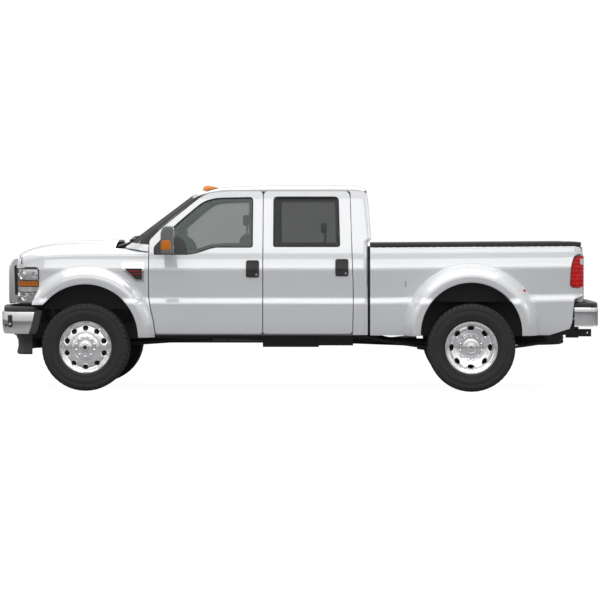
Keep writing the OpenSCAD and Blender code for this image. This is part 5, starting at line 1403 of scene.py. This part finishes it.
def glass_slab(z0, z1):
    """One mirror glass from height z0 to z1."""
    shape = rounded(oblong(head_y[0] + 20, head_y[1] - 20, z0, z1), 22)
    return slab(shape, head_x[0] - 1.5, head_x[0] + 4, 1.2, "yzx")

both("mirror_glasses", *joined(glass_slab(m0 + 18, m0 + 84), glass_slab(m0 + 96, m1 - 22)), chrome,
     body="front_{side}_door")
arm_y = (float(side(belt_z - 60)) + 4, head_y[0] + 20)
arms = joined(*[box_slab((door_front - 222, door_front - 178), arm_y, (z - 15, z + 15),
                         9) for z in (belt_z - 40, belt_z + 40)])
both("mirror_arms", *arms, grey_trim, body="front_{side}_door", crease=40)
sail = rounded(at((door_front, belt_z), [(-48, -71), (-392, -71), (-384, 30), (-330, 98),
                                         (-240, 128), (-232, 204), (-122, 84), (-48, 4)]),
               [8, 10, 40, 60, 30, 14, 40, 20])
both("mirror_sail", *plate(sail, 16, on_side, 4, 24), grey_trim, body="front_{side}_door")
print("mirrors made")

# %% Door handles
def handle_set(x, z):
    """A black bezel on the door, a cup behind it, a grip along its upper half and a lock."""
    outer = rounded(oblong(x, x + 136, z, z + 178), 26)
    hole = rounded(oblong(x + 16, x + 112, z + 52, z + 162), 16)
    bezel = plate(outer, 12, on_side, -7, 3, [hole])
    cup = plate(grown(hole, 3), 16, on_side, -1.5, 2)
    grip = rounded(oblong(x + 50, x + 118, z + 74, z + 158), 14)
    bar = plate(grip, 12, on_side, -13, -4)
    lock = turned([(1, 0), (12, 0), (12, 5), (9, 7), (1, 7)],
                  (x + 28, float(side(z + 28)) + 6, z + 28), 20)
    return joined(bezel, cup, bar), lock

for end, x, z in (("front", door_mid + 38, belt_z - 307), ("rear", door_rear + 47, belt_z - 294)):
    body, lock = handle_set(x, z)
    both(f"{end}_handle", *body, black_trim, body=end + "_{side}_door", crease=28)
    both(f"{end}_lock", *lock, steel, body=end + "_{side}_door", slot="chrome")

# %% [markdown]
# The vent on each front fender is a plated frame round a black recess, with its lower front
# corner cut along the flare. A small red lamp sits on the rear flare. Names and badges are left
# bare everywhere.

# %% Fender vent and flare lamps
v_x, v_z = front_x - 599, axle_z + 677
vent = rounded(at((v_x, v_z), [(0, 0), (86, 0), (190, 92), (225, 130), (225, 196), (0, 196)]),
               [10, 20, 20, 16, 10, 10])
slot_hole = rounded(at((v_x, v_z), [(20, 18), (82, 18), (170, 104), (204, 136), (20, 136)]),
                    [6, 16, 12, 6, 6])
both("vent_frame", *plate(vent, 9, on_fender, -7, 1, [slot_hole]), chrome)
both("vent_recess", *plate(grown(slot_hole, 4), 12, on_fender, -1.2, 0.8), black_trim)
# The fins take the red lens finish, whose faint emission gives them a painted glow, though they are no
# lamp.
fins = [plate(oblong(v_x + 22, v_x + x1, z, z + 5), 20, on_fender, -5, -1)
        for z, x1 in ((v_z + 74, 136), (v_z + 102, 164))]
both("vent_fins", *joined(*fins), red_lens)
flare_lamp = on_bed(-5)(np.array([[rear_x - 545, axle_z + 563]]))[0]
for lamp_side, s in (("left", 1), ("right", -1)):
    make(lamp_side + "_flare_lamp", *slab(rounded(circle(17, 16) * [1.15, 0.8] + flare_lamp[[0, 2]],
                                                  3, 3), s * (flare_lamp[1] - 12),
                                          s * (flare_lamp[1] + 5), 4, "xzy"), red_lens)

# %% [markdown]
# The nose: a plated grille with three rows of openings split in the middle, tall lamps that wrap
# round the corners, a plated bumper with a dark pad on top and dark ends, and a dark air dam.

# %% Grille
grille_half = hood_half - 180
g0, g1 = bumper_top + 16, cad("grille")[1][2] + 34

def grille_x(y, out=0.0):
    """How far forward the grille stands at y: it falls back towards its sides."""
    return np.interp(np.abs(y), [0, grille_half / 2, grille_half],
                     [nose_x - 86, nose_x - 94, nose_x - 132]) + out

def on_grille(out, bulge=0):
    """Lifts (y, z) points onto the grille; bulge rounds its edge off over 22 mm."""
    def lift(p):
        y, z = p.T
        edge = np.minimum(grille_half - np.abs(y), np.minimum(z - g0, g1 - z))
        soft = bulge * np.clip(1 - edge / 22, 0, 1) ** 2
        return np.stack([grille_x(y, out) - soft - 70 * np.clip((z - g1 + 120) / 120, 0, 1) ** 2, y,
                         z], -1)
    return lift

row_h = (g1 - g0 - 94) / 3
cells = []
for row in range(3):
    for s in (-1, 1):
        z0 = g0 + 46 + row * row_h
        corners = oblong(s * 34, s * (grille_half - 42), z0, z0 + row_h - 32)
        cells.append(rounded(corners, 16))
make("grille_frame", *panel(*cut_sheet(rounded(oblong(-grille_half, grille_half, g0, g1), 26),
                                       cells, 13), on_grille(0, 12), on_grille(-66)), chrome,
     "grille", crease=32)
mesh_back = plate(oblong(-grille_half + 20, grille_half - 20, g0 + 20, g1 - 20), 40, on_grille, -48,
                  -58)
bars = []
for row in range(3):
    for k in (0.27, 0.5, 0.73):
        z = g0 + 46 + row * row_h + (row_h - 32) * k
        way = [(grille_x(y, -26) , y, z) for y in np.linspace(-grille_half + 30, grille_half - 30, 30)]
        bars.append(swept(way, rounded([(-14, -4), (8, -4), (12, 0), (8, 4), (-14, 4)], 3, 3)))
make("grille_mesh", *joined(mesh_back, *bars), black_trim, crease=40)
cheek = rounded(at((nose_x, 0), [(-292, g0 + 6), (-150, g0 + 6), (-146, g0 + 60), (-150, g1 - 70),
                                 (-200, g1 - 10), (-292, g1 - 4)]), [4, 30, 30, 60, 40, 4])
cheek_hole = rounded(at((nose_x, 0), [(-226, g0 + 90), (-196, g0 + 90), (-186, g1 - 90),
                                      (-236, g1 - 70)]), 12)

def on_cheek(depth):
    """Lifts (x, z) points onto the grille's flat side, depth millimetres in."""
    return lambda p: np.stack([p[:, 0], 0 * p[:, 0] + grille_half + 14 - depth, p[:, 1]], -1)

both("grille_cheek", *plate(cheek, 14, on_cheek, 0, 10, [cheek_hole]), chrome)
both("grille_cheek_slot", *plate(grown(cheek_hole, 2), 20, on_cheek, 6, 9), black_trim)
print("grille cells", len(cells))

# %% Headlamps
lamp_z0, lamp_z1 = g0 + 3, hood_z1 - 120
lamp_way = np.array(at((fender_front, 0), [(-184, half_w - 41), (-120, half_w - 50),
                                           (-50, half_w - 62), (6, half_w - 92), (44, half_w - 140),
                                           (66, half_w - 200), (76, half_w - 280),
                                           (78, grille_half + 18)]))
lamp_d = np.concatenate([[0], np.cumsum(np.linalg.norm(np.diff(lamp_way, axis=0), axis=1))])

def lamp_grid(z0, z1, depth, s0=0.0, s1=1.0, rows=16):
    """Part of the lamp's wrap-round face, depth millimetres in, from height z0 to z1."""
    t, s = np.meshgrid(np.linspace(0, 1, rows), np.linspace(s0, s1, 60), indexing="ij")
    z = z0 + (z1 - z0) * t
    cut = np.interp(z, [lamp_z0, bumper_top + 40, bumper_top + 150, lamp_z1 - 40, lamp_z1],
                    [66, 60, -2, -2, 10])
    d = cut + (lamp_d[-1] - cut) * s
    x, y = np.interp(d, lamp_d, lamp_way[:, 0]), np.interp(d, lamp_d, lamp_way[:, 1])
    turn = np.clip((d - 130) / 260, 0, 1) * np.pi / 2
    soft = depth + 8 * np.abs(2 * (z - lamp_z0) / (lamp_z1 - lamp_z0) - 1) ** 14 + 4 * np.clip(1
            - (d - cut) / 18, 0, 1) ** 2
    return np.stack([x - soft * np.sin(turn), y - soft * np.cos(turn), z], -1)

clear_cover = tinted_glass("clear_cover", (0.05, 0.05, 0.055), 0.06)
lamp_silver = bright_metal("lamp_reflector", (0.94, 0.94, 0.95), 0.1, 0.08)
h = lamp_z1 - lamp_z0
both("headlamp_cover", *grid_shell(lamp_grid(lamp_z0, lamp_z1, 0, rows=40),
                                   lamp_grid(lamp_z0, lamp_z1, 5, rows=40)), clear_cover)
both("headlamp_back", *grid_shell(lamp_grid(lamp_z0 - 2, lamp_z1 + 3, 30, -0.02),
                                  lamp_grid(lamp_z0 - 2, lamp_z1 + 3, 44, -0.02)), mirror_grey)
for part, f0, f1, depth, finish in (("upper", 0.68, 0.965, 24, lamp_silver),
                                    ("amber", 0.50, 0.64, 14, amber_lens),
                                    ("middle", 0.34, 0.475, 20, clear_lens),
                                    ("lower", 0.04, 0.315, 24, lamp_silver)):
    both("headlamp_" + part, *grid_shell(lamp_grid(lamp_z0 + f0 * h, lamp_z0 + f1 * h, depth, 0.035,
                                                   0.97), lamp_grid(lamp_z0 + f0 * h,
            lamp_z0 + f1 * h, depth + 5, 0.035, 0.97)), finish, slot="lamp_clear")
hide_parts("headlamps")

def brow_grid(drop):
    """The white sheet over a headlamp, rolled back from the lamp's top to the hood's front edge."""
    d = np.linspace(lamp_d[3] - 30, lamp_d[-1] + 6, 50)
    x, y = np.interp(d, lamp_d, lamp_way[:, 0]), np.interp(d, lamp_d, lamp_way[:, 1])
    v = np.minimum(y / hood_half, 1)
    top_x = np.minimum(x, hood_front_x - 95 * v ** 2 - 20 * v ** 12 + 10)
    top_z = hood_height(top_x, v * hood_half) - 26 - 60 * np.clip((y - hood_half) / 110, 0, 1) ** 2
    a = np.linspace(0, np.pi / 2, 14)[:, None]
    return np.stack([x + (top_x - x) * (1 - np.cos(a)) - drop * np.cos(a), y + 0 * a,
                     lamp_z1 + 2 + (top_z - lamp_z1 - 2) * np.sin(a) - drop * np.sin(a)], -1)

both("headlamp_brow", *grid_shell(brow_grid(0), brow_grid(8)), white, crease=40)

def bowl(s, z, r, depth=18.0):
    """A round reflector bowl and its bulb, sunk behind the cover at s along the lamp."""
    g = lamp_grid(z - 1, z + 1, depth, s, s + 0.01, 2)
    a, b = g[0, 0], g[0, -1]
    ahead = (b - a) / np.linalg.norm(b - a)
    out = np.array([-ahead[1], ahead[0], 0]) * np.sign(-ahead[1] * 1 + ahead[0] * 1e-6)
    p, f = turned([(1, -20), (8, -20), (9, 2), (12, -14), (r * 0.7, -10), (r, 3), (r + 4, 4),
                   (r + 5, -2), (r, -24), (1, -24)], (0, 0, 0), 30)
    basis = np.stack([ahead, out, np.array([0, 0, 1.0])])
    return p @ basis + a, f

bowls = joined(bowl(0.10, lamp_z0 + 0.83 * h, 26), bowl(0.42, lamp_z0 + 0.82 * h, 42),
               bowl(0.78, lamp_z0 + 0.80 * h, 46), bowl(0.30, lamp_z0 + 0.2 * h, 36),
               bowl(0.72, lamp_z0 + 0.2 * h, 44))
both("headlamp_bowls", *bowls, chrome)
both("headlamp_marker", *bowl(0.13, lamp_z0 + 0.24 * h, 17, 14), smoke_lens)
print("headlamps made")

# %% Front bumper and air dam
bh = half_w - 6
wing = np.array([(front_x + front_arch_r - 36, bh - 3), (nose_x - 300, bh - 1),
                 (nose_x - 230, bh - 15), (nose_x - 168, bh - 60)])
bow_y = (bh - 150) * np.linspace(1, -1, 41)
bow = np.stack([nose_x - 1 - 0.128 * (np.hypot(bow_y, 150) - 150), bow_y], -1)
way = way_of(np.concatenate([wing, bow, wing[::-1] * [1, -1]])[::-1], 60)
low_z = axle_z + 125

def bumper_bar(section, x_min, inset=0.0):
    """A section carried round the bumper's path, leaning in behind its corners."""
    keep = way[way[:, 0] > x_min]
    path = np.column_stack([keep, np.full(len(keep), low_z)])
    points, faces = swept(path, [(a - inset, b) for a, b in section])
    lean = np.interp(points[:, 2] - low_z, [0, 250], [-52, 8])
    points[:, 0] -= np.clip((nose_x - 380 - points[:, 0]) / 60, 0, 1) * lean
    return points, faces

face = [(-16, 10), (-5, 34), (-1, 70), (-1, 150), (-3, 205), (-9, 232), (-18, 240), (-30, 240),
        (-22, 200), (-12, 150), (-12, 70), (-26, 12)]
make("front_bumper_bar", *bumper_bar(face, nose_x - 452), chrome, "front_bumper", crease=32)
pad = rounded([(-14, 238), (-14, 276), (-26, 291), (-96, 293), (-96, 262), (-40, 240)], 8, 4)
make("front_bumper_pad", *bumper_bar(pad, nose_x - 452), grey_trim, crease=40)
end_cap = rounded(at((front_x + front_arch_r, low_z),
                     [(-92, 250), (-26, 262), (52, 12), (-24, 2), (-54, 60)]), [14, 10, 16, 16, 30])
both("front_bumper_end", *slab(end_cap, bh - 96, bh - 3, 12, "xzy"), grey_trim, crease=40)
fog = rounded(at((nose_x, low_z), [(-206, 77), (-158, 74), (-154, 204), (-200, 206)]), 18)
way_left = way[way[:, 1] > 0]

def on_bumper(out):
    """Lifts (x, z) points onto the bumper's left wing."""
    def lift(p):
        order = np.argsort(way_left[:, 0])
        y = np.interp(p[:, 0], way_left[order, 0], way_left[order, 1])
        return np.stack([p[:, 0] + out * 0.55, y + out * 0.83, p[:, 1]], -1)
    return lift

both("fog_lamp_bezel", *plate(fog, 10, on_bumper, 3, -6), black_trim)
fog_glass = rounded(circle(13, 20) + [nose_x - 180, low_z + 112], 2, 3)
both("fog_lamp_glass", *plate(fog_glass, 8, on_bumper, 5, -2), smoke_lens)
dot = rounded(circle(14, 20) + [nose_x - 132, low_z + 96], 2, 3)
both("bumper_hole", *plate(dot, 8, on_bumper, 2, -5), black_trim)
make("front_plate_blank", *slab(rounded(oblong(-152, 152, low_z + 74, low_z + 220), 8), nose_x - 5,
                                nose_x - 1, 1, "yzx"), white)
dam_y = (half_w - 330) * np.linspace(1, -1, 25)
dam_way = np.concatenate([at((nose_x, half_w), [(-400, -160), (-310, -152), (-262, -200)]),
                          np.stack([nose_x - 236 + 30 * (1 - (dam_y / 700) ** 2), dam_y], -1),
                          at((nose_x, -half_w), [(-262, 200), (-310, 152), (-400, 160)])])[::-1]
dam = [(26, 14), (22, -20), (4, -60), (0, -120), (10, -166), (16, -188), (4, -206), (-14, -200),
       (-10, -120), (-8, -60), (10, 14)]
make("air_dam", *swept(np.column_stack([dam_way, np.full(len(dam_way), low_z)]), dam), grey_trim,
     "front_valance", crease=40)
print("bumper and air dam made")

# %% Roof lamps, cowl and wipers
def roof_at(x, y):
    """Height of the roof skin at one place."""
    crown, rail = (float(np.interp(x, tx[::-1], tz[::-1])) for tx,
                   tz in ((crown_x, crown_z), (rail_x, rail_z)))
    v = min(abs(y) / float(side(rail)), 1.0) ** (1 / 0.62)
    return rail + (crown - rail) * (1 - v * v) ** 0.31

pods, feet = [], []
for y in (-610, -150, 0, 150, 610):
    x = front_x - 1262 + (14 if abs(y) < 200 else 0)
    z = roof_at(x, y)
    lean = (roof_at(x + 60, y) - roof_at(x - 60, y)) / 120
    for kind, size in ((pods, (158, 92, 56)), (feet, (172, 104, 10))):
        p, f = pod((x, y, z), *size)
        p[:, 2] += (p[:, 0] - x) * lean
        kind.append((p, f))
make("roof_lamps", *joined(*pods), amber_lens, crease=50)
make("roof_lamp_feet", *joined(*feet), grey_trim, crease=50)
cowl_y = np.linspace(-half_w + 228, half_w - 228, 30)
cowl_way = np.stack([hood_rear_x - 100 + 44 * (1 - (cowl_y / 790) ** 2), cowl_y,
                     0 * cowl_y + hood_z0 - 32 - 8 * (cowl_y / 790) ** 2], -1)
cowl_cut = rounded([(-66, 14), (-20, -8), (60, -28), (72, -20), (60, -10), (-16, 8), (-60, 30)], 6, 3)
make("cowl_tray", *swept(cowl_way, cowl_cut), black_trim, "cowl_panel", crease=40)

def wiper(y0, y1):
    """A wiper: a thin arm from the cowl, and a blade lying on the windscreen's foot."""
    t = np.linspace(0, 1, 12)
    v0, v1 = y0 / 800, y1 / 800
    def on_screen(v, up):
        """A place on the windscreen at v across and up its height."""
        g = 62 * (1 - v ** 2) * (1 - 0.45 * up) - 34 * (1 - 0.3 * up)
        return np.stack([screen_low[0] + (screen_high[0] - screen_low[0]) * up + g + 14,
                         v * screen_edge(up, 0),
                         screen_low[1] + (screen_high[1] - screen_low[1]) * up + 18 - 6 * v ** 2],
                        -1)
    blade = on_screen(v0 + (v1 - v0) * t, 0.01 + 0.055 * t)
    root = np.array([blade[0, 0] + 34, y0 + 30 * np.sign(y0 - y1), blade[0, 2] - 14])
    arm = root + (blade[6] + [0, 0, 9] - root) * t[:, None] + np.outer(np.sin(np.pi * t), [0, 0, 9])
    return joined(swept(blade, [(-4, -7), (4, -7), (6, 4), (-6, 4)]), swept(arm, oblong(-5, 5, -3, 4)),
                  turned([(1, 0), (15, 0), (15, 18), (9, 24), (1, 24)], root - [0, 0, 12], 20, "z"))

make("wipers", *joined(wiper(640, 60), wiper(-40, -620)), black_trim, crease=40)
corner_lamp = rounded(circle(1, 14) * [16, 11] + [cab_rear + 26, roof_z - 84], 3, 3)
corner_y = float(side(roof_z - 84)) - 26
both("roof_corner_lamp", *slab(corner_lamp, corner_y - 14, corner_y + 14, 5, "xzy"), red_lens)
print("roof lamps, cowl and wipers made")

# %% [markdown]
# Inside the cab, the dashboard is one section carried across the cab and shaped along its way,
# with a hood over the dials. The steering wheel has a round rim, three spokes and a padded boss.

# %% Dashboard and steering wheel
firewall_x = cad("dashboard")[1][0]
dash_rear = cad("dashboard")[0][0]
d_y = np.linspace(-780, 780, 61) * (half_w - 235) / 780
hump = np.exp(-((d_y - 370) / 210) ** 4)
dash = []
for y, k in zip(d_y, hump):
    r = dash_rear + 60
    dash.append([(firewall_x - 1, axle_z + 634), (r + 70, axle_z + 634), (r + 30, axle_z + 700),
                 (r - 6 + 4 * k, axle_z + 800), (r + 18 - 20 * k, axle_z + 878 + 10 * k),
                 (r + 60 - 30 * k, axle_z + 926 + 22 * k), (r + 150, axle_z + 948 + 4 * k),
                 (r + 280, axle_z + 934), (firewall_x - 1, axle_z + 908)])
dash = np.array(dash)
sections = np.stack([np.array(rounded(s, 22, 4)) for s in dash])
points = np.concatenate([sections[..., :1], np.broadcast_to(d_y[:, None, None],
                                                            (*sections.shape[:2], 1)),
                         sections[..., 1:]], -1)
make("dash_pad", *tube(points), cabin_plastic, "dashboard", crease=40)
dials = joined(*[turned([(1, 0), (r, 0), (r + 4, -4), (r + 4, -10), (r, -10), (1, -6)],
                        (dash_rear + 62, 370 + dy, axle_z + 868), 28, "x") for dy,
                 r in ((-74, 40), (74, 40), (0, 22))])
vents = joined(*[box_slab((dash_rear + 46, dash_rear + 62), (y - 48, y + 48),
                          (axle_z + 826, axle_z + 880), 6) for y in (-660, -110, 110, 670)])
screen = box_slab((dash_rear + 44, dash_rear + 60), (-90, 90), (axle_z + 690, axle_z + 800), 6)
make("dash_details", *joined(dials, vents, screen), black_trim, crease=40)

wheel_at = JOINT["steering_wheel_turn"]
tilt = math.radians(62)
wheel_axis = np.array([-math.sin(tilt), 0, math.cos(tilt)])
wheel_up = np.array([math.cos(tilt), 0, math.sin(tilt)])
across = np.array([0, 1.0, 0])

def on_wheel(u, v, w):
    """A place on the steering wheel: u across, v up the wheel and w along its axis."""
    return wheel_at + np.outer(u, across) + np.outer(v, wheel_up) + np.outer(w, wheel_axis)

a = np.linspace(0, 2 * np.pi, 64, endpoint=False)
rim = swept(on_wheel(185 * np.cos(a), 185 * np.sin(a), 0 * a), round_section(14.5, 12), wheel_axis,
            closed=True)
t = np.linspace(0, 1, 8)
spokes = [swept(on_wheel(np.cos(b) * (30 + 146 * t), np.sin(b) * (30 + 146 * t), -26 + 24 * t),
                rounded(oblong(-16, 16, -6, 5), 5, 3),
                wheel_axis) for b in np.radians([0, 180, 270])]
boss, boss_faces = turned([(1, -44), (50, -44), (60, -24), (60, -10), (52, -2), (1, 2)], (0, 0, 0),
                          36, "z")
boss = on_wheel(boss[:, 0], boss[:, 1], boss[:, 2])
make("steering_rim", *joined(rim, *spokes, (boss, boss_faces)), black_trim, "steering_wheel",
     "steering_wheel", slot="interior_plastic", crease=45)
column = wheel_at - np.outer(np.linspace(46, 196, 6), wheel_axis)
make("steering_column", *swept(column, round_section(36, 20), (0, 1, 0)), cabin_plastic)
print("dashboard and steering wheel made")

# %% [markdown]
# Each seat is a cushion, a back and a head restraint, all stuffed. Their shapes start as smooth
# crowned boxes, and a short cloth simulation with air pressure inside swells them, so the fabric
# bulges between its edges the way foam does. Sewn channels are pressed in afterwards.

# %% Seat cloth
def seat_cloth():
    """Woven seat fabric: crossed yarns fine enough to read as a weave, with faded patches."""
    f = Finish("seat_cloth")
    place = f.place()
    x, y, z = (f.node("ShaderNodeSeparateXYZ", None, {0: place}, k) for k in range(3))
    weave = ((x + z) * 2400.0).sine() * (y * 2400.0).sine()
    faded = f.noise(4.0, 4.0)
    colour = f.mix(faded, rgb(0.10, 0.105, 0.105), rgb(0.15, 0.155, 0.15))
    return f.surface(Base_Color=f.mix(weave * 0.3 + 0.3, colour, rgb(0.06, 0.063, 0.063)),
                     Roughness=faded * 0.1 + 0.82, Normal=f.bump(weave, 0.3, 0.0012))

cloth = seat_cloth()

# %% Padded seats
def crowned(low, high, crown, n=12, corner=5.0):
    """A cushion's first shape: a cube pushed towards a rounded box, with a crowned top."""
    low, high = np.array(low, float), np.array(high, float)
    u = np.linspace(-1, 1, n)
    a, b = np.meshgrid(u, u, indexing="ij")
    sides, faces, start = [], [], 0
    for k in range(3):
        for s in (-1, 1):
            g = np.stack(np.roll([0 * a + s, a, b * s], k, 0), -1)
            sides.append(g.reshape(-1, 3))
            faces.append(grid_faces(n, n) + start)
            start += n * n
    p = np.concatenate(sides)
    p, where = np.unique(np.round(p, 6), axis=0, return_inverse=True)
    faces = where.reshape(-1)[np.concatenate(faces)]
    size = (np.abs(p) ** corner).sum(1, keepdims=True) ** (1 / corner)
    ball = p / size
    ball[:, 2] *= 1 + crown * (1 - np.abs(p[:, 0]) ** 2) * (1 - np.abs(p[:, 1]) ** 2) * (ball[:, 2] > 0)
    return (low + high) / 2 + ball * (high - low) / 2 * [1, 1, 1 / (1 + crown)], faces

def leaned(points, foot_z, lean):
    """Leans a seat back: points shift backwards in proportion to their height."""
    return points - np.outer(np.clip(points[:, 2] - foot_z, 0, None) * lean, [1, 0, 0])

swell_frames = 20

def puffed(name, points, faces, cap=0.012, voxel=0.02):
    """Swells a closed form with cloth and air pressure, capped, then shades it smooth."""
    piece = make(name, points, faces, cloth, crease=180)
    steps = []
    steps = [("REMESH", {"mode": "VOXEL", "voxel_size": voxel}), ("CLOTH", {})]
    before = None
    for kind, settings in steps:
        step = piece.modifiers.new(kind.lower(), kind)
        for key, value in settings.items():
            setattr(step, key, value)
        if kind == "REMESH":
            bake(piece)
            before = places(piece)
            continue
        s = step.settings
        s.quality, s.mass = 5, 0.4
        s.use_pressure, s.uniform_pressure_force = True, 4.0
        s.effector_weights.gravity = 0.0
        s.tension_stiffness = s.compression_stiffness = 18.0
        step.point_cache.frame_start, step.point_cache.frame_end = 1, swell_frames
        for number in range(1, swell_frames + 1):
            bpy.context.scene.frame_set(number)
        bake(piece)
        bpy.context.scene.frame_set(1)
    if before is not None:
        now = places(piece)
        move = now - before
        far = np.linalg.norm(move, axis=1, keepdims=True)
        now = before + move * np.minimum(1, cap / np.maximum(far, 1e-9))
        piece.data.vertices.foreach_set("co", now.ravel())
        piece.data.polygons.foreach_set("use_smooth", np.ones(len(piece.data.polygons), bool))
        piece.data.update()
    return piece

def bake(piece):
    """Puts the modifiers' result into the mesh and takes the modifiers off."""
    view = piece.evaluated_get(bpy.context.evaluated_depsgraph_get())
    mesh = bpy.data.meshes.new_from_object(view)
    piece.modifiers.clear()
    piece.data = mesh

def places(piece):
    """The mesh's points in metres, as an array."""
    co = np.empty(len(piece.data.vertices) * 3)
    piece.data.vertices.foreach_get("co", co)
    return co.reshape(-1, 3)

def sewn(piece, lines, axis, depth, width):
    """Presses sewn channels in: lines are places along an axis, in metres."""
    co = places(piece)
    mid = co.mean(0)
    pull = sum(np.exp(-((co[:, axis] - line) / width) ** 2) for line in lines)
    out = co - mid
    out[:, axis] = 0
    co -= out / np.maximum(np.linalg.norm(out, axis=1, keepdims=True), 1e-6) * (depth * pull)[:, None]
    piece.data.vertices.foreach_set("co", co.ravel())
    piece.data.update()

floor_z = axle_z + 295
for row, x, y, w, back_h in (("front", door_mid + 270, 370, 540, 560),
                             ("rear", door_rear + 380, 360, 680, 480)):
    for hand, s in (("left", 1), ("right", -1)):
        y0 = s * y
        seat_z, top = floor_z + 150, floor_z + 332
        base = crowned((x - 52, y0 - w / 2 + 10, seat_z - 70), (x + 452, y0 + w / 2 - 10, top - 14),
                       0.10)
        back, faces = crowned((x - 56, y0 - w / 2 + 14, top - 4),
                              (x + 52, y0 + w / 2 - 14, top + back_h - 6), 0.04)
        head, head_faces = crowned((x - 120 + 36, y0 - 122, top + back_h + 56),
                                   (x - 48 + 20, y0 + 122, top + back_h + 184), 0.08, 10, 3.2)
        for part, (p, f), fill in (("cushion", base, 0.6),
                                   ("back", (leaned(back, top, 0.15), faces), 0.55),
                                   ("headrest", (head - [12, 0, 0], head_faces), 0.8)):
            piece = puffed(f"{row}_{hand}_seat_{part}", p, f)
            if part != "headrest":
                middle = y0 / 1000
                sewn(piece, [middle - w / 4000, middle + w / 4000], 1, 0.009, 0.012)
        stems = joined(*[swept([(x - 84, y0 + d, top + back_h - 30),
                                (x - 84, y0 + d, top + back_h + 80)], round_section(7, 10),
                               (1, 0, 0)) for d in (-50, 50)])
        plinth = box_slab((x - 50, x + 350), (y0 - w / 2 + 44, y0 + w / 2 - 44),
                          (floor_z + 2, seat_z - 60), 10)
        make(f"{row}_{hand}_seat_frame", *joined(stems, plinth), black_trim, crease=40)
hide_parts("seats")
print("seats made")

# %% [markdown]
# The pieces that mostly hide underneath keep their CAD meshes, with their own finishes. The coil
# springs are added where the CAD model has plain tubes.

# %% Finishes of the kept CAD pieces
def dressed(nodes, finish):
    """Puts one finish on every material slot of the named CAD pieces."""
    for name in nodes:
        piece = frame["nodes"][name]
        for k in range(len(piece.material_slots)):
            piece.material_slots[k].material = finish

dressed(["frame", "suspension", "hitch_receiver", "driveshafts", "wheel_liners", "fuel_tank"],
        chassis_black)
dressed(["front_axle", "rear_axle", "left_knuckle", "right_knuckle", "tie_rod"], cast_iron)
dressed(["engine"], engine_grey)
dressed(["radiator"], black_trim)
dressed(["exhaust"], exhaust_steel)
dressed(["bed"], white)

# %% [markdown]
# Seen from the side, the space over and between the wheels lies in shade. Thin black sheets inside
# the rear arches and behind the rear wheels are painted shade, a black rubber strip in the gap between
# cab and bed is painted shade as well, and a helper leaf hangs under each spring. Coil springs stand
# where the CAD model has plain tubes.

# %% Painted shade in the rear arches and the cab-to-bed gap, and springs
crescent = rear_arch + (rear_arch_r - 2) * np.stack([np.cos(arch_turn), np.sin(arch_turn)], -1)
crescent = np.concatenate([crescent[crescent[:, 1] > tyre_r * 2 + 14], [[rear_x, tyre_r * 2 + 13.9]]])
low_shade_sheet = oblong(rear_x - 560, rear_x + 560, rocker_z - 20, axle_z + 560)

def upright(y0, y1):
    """Lifts flat (x, z) points to one distance out from the middle."""
    return [lambda p, y=y: np.stack([p[:, 0], 0 * p[:, 0] + y, p[:, 1]], -1) for y in (y1, y0)]

# Painted shade: black sheets inside each rear arch and behind the rear wheels, where those spaces lie
# in shade.
both("rear_arch_shield", *joined(panel(*cut_sheet(crescent, [], 40),
                                       *upright(half_w - 158, half_w - 152)),
                                 panel(*cut_sheet(low_shade_sheet, [], 60),
                                       *upright(half_w - 420, half_w - 414))), chassis_black)
# Painted shade: a black strip deep in the gap between cab and bed, standing in for the shade in that
# gap.
gap_z = np.linspace(rocker_z + 20, rail_top - 6, 30)
gap_x = cab_rear - 13.0
gap_shade_way = np.stack([0 * gap_z + gap_x, side(gap_z) - 60, gap_z], -1)
both("bed_gap_seal", *swept(gap_shade_way, oblong(-14, 14, -26, 22), (0, 1, 0)), seal_rubber)
leaf_x = np.linspace(rear_x - 900, rear_x + 1080, 60)
leaf = np.stack([leaf_x, 0 * leaf_x + 505, axle_z - 42 + 140 * ((leaf_x - rear_x) / 1080) ** 2], -1)
both("helper_leaf", *joined(swept(leaf, rounded(oblong(-35, 35, -13, 13), 6, 3)),
                            swept(leaf[16:44] - [0, 0, 22], rounded(oblong(-33, 33, -9, 9), 5, 3)),
                            box_slab((rear_x - 90, rear_x + 90), (455, 555),
                                     (axle_z - 86, axle_z - 50), 8)), chassis_black)
hanger = rounded(at((bed_corner, rocker_z), [(330, 60), (60, 90), (56, -2), (190, -14), (210, -96),
                                             (300, -100), (420, 10)]), 18)
both("tail_hanger", *slab(hanger, 560, 580, 4, "xzy"), chassis_black)
tower_z = axle_z + 360
turns, spring_r, spring_y = 6.5, 62.0, 560.0
a = np.linspace(0, 2 * np.pi * turns, 200)
z = np.linspace(axle_z + 66, tower_z - 8, 200)
spring = np.stack([front_x + spring_r * np.cos(a), spring_y + spring_r * np.sin(a), z], -1)
both("coil_spring", *swept(spring, round_section(8.5, 10), (0, 0, 1)), chassis_black)
print("kept pieces dressed; tower at", round(tower_z))
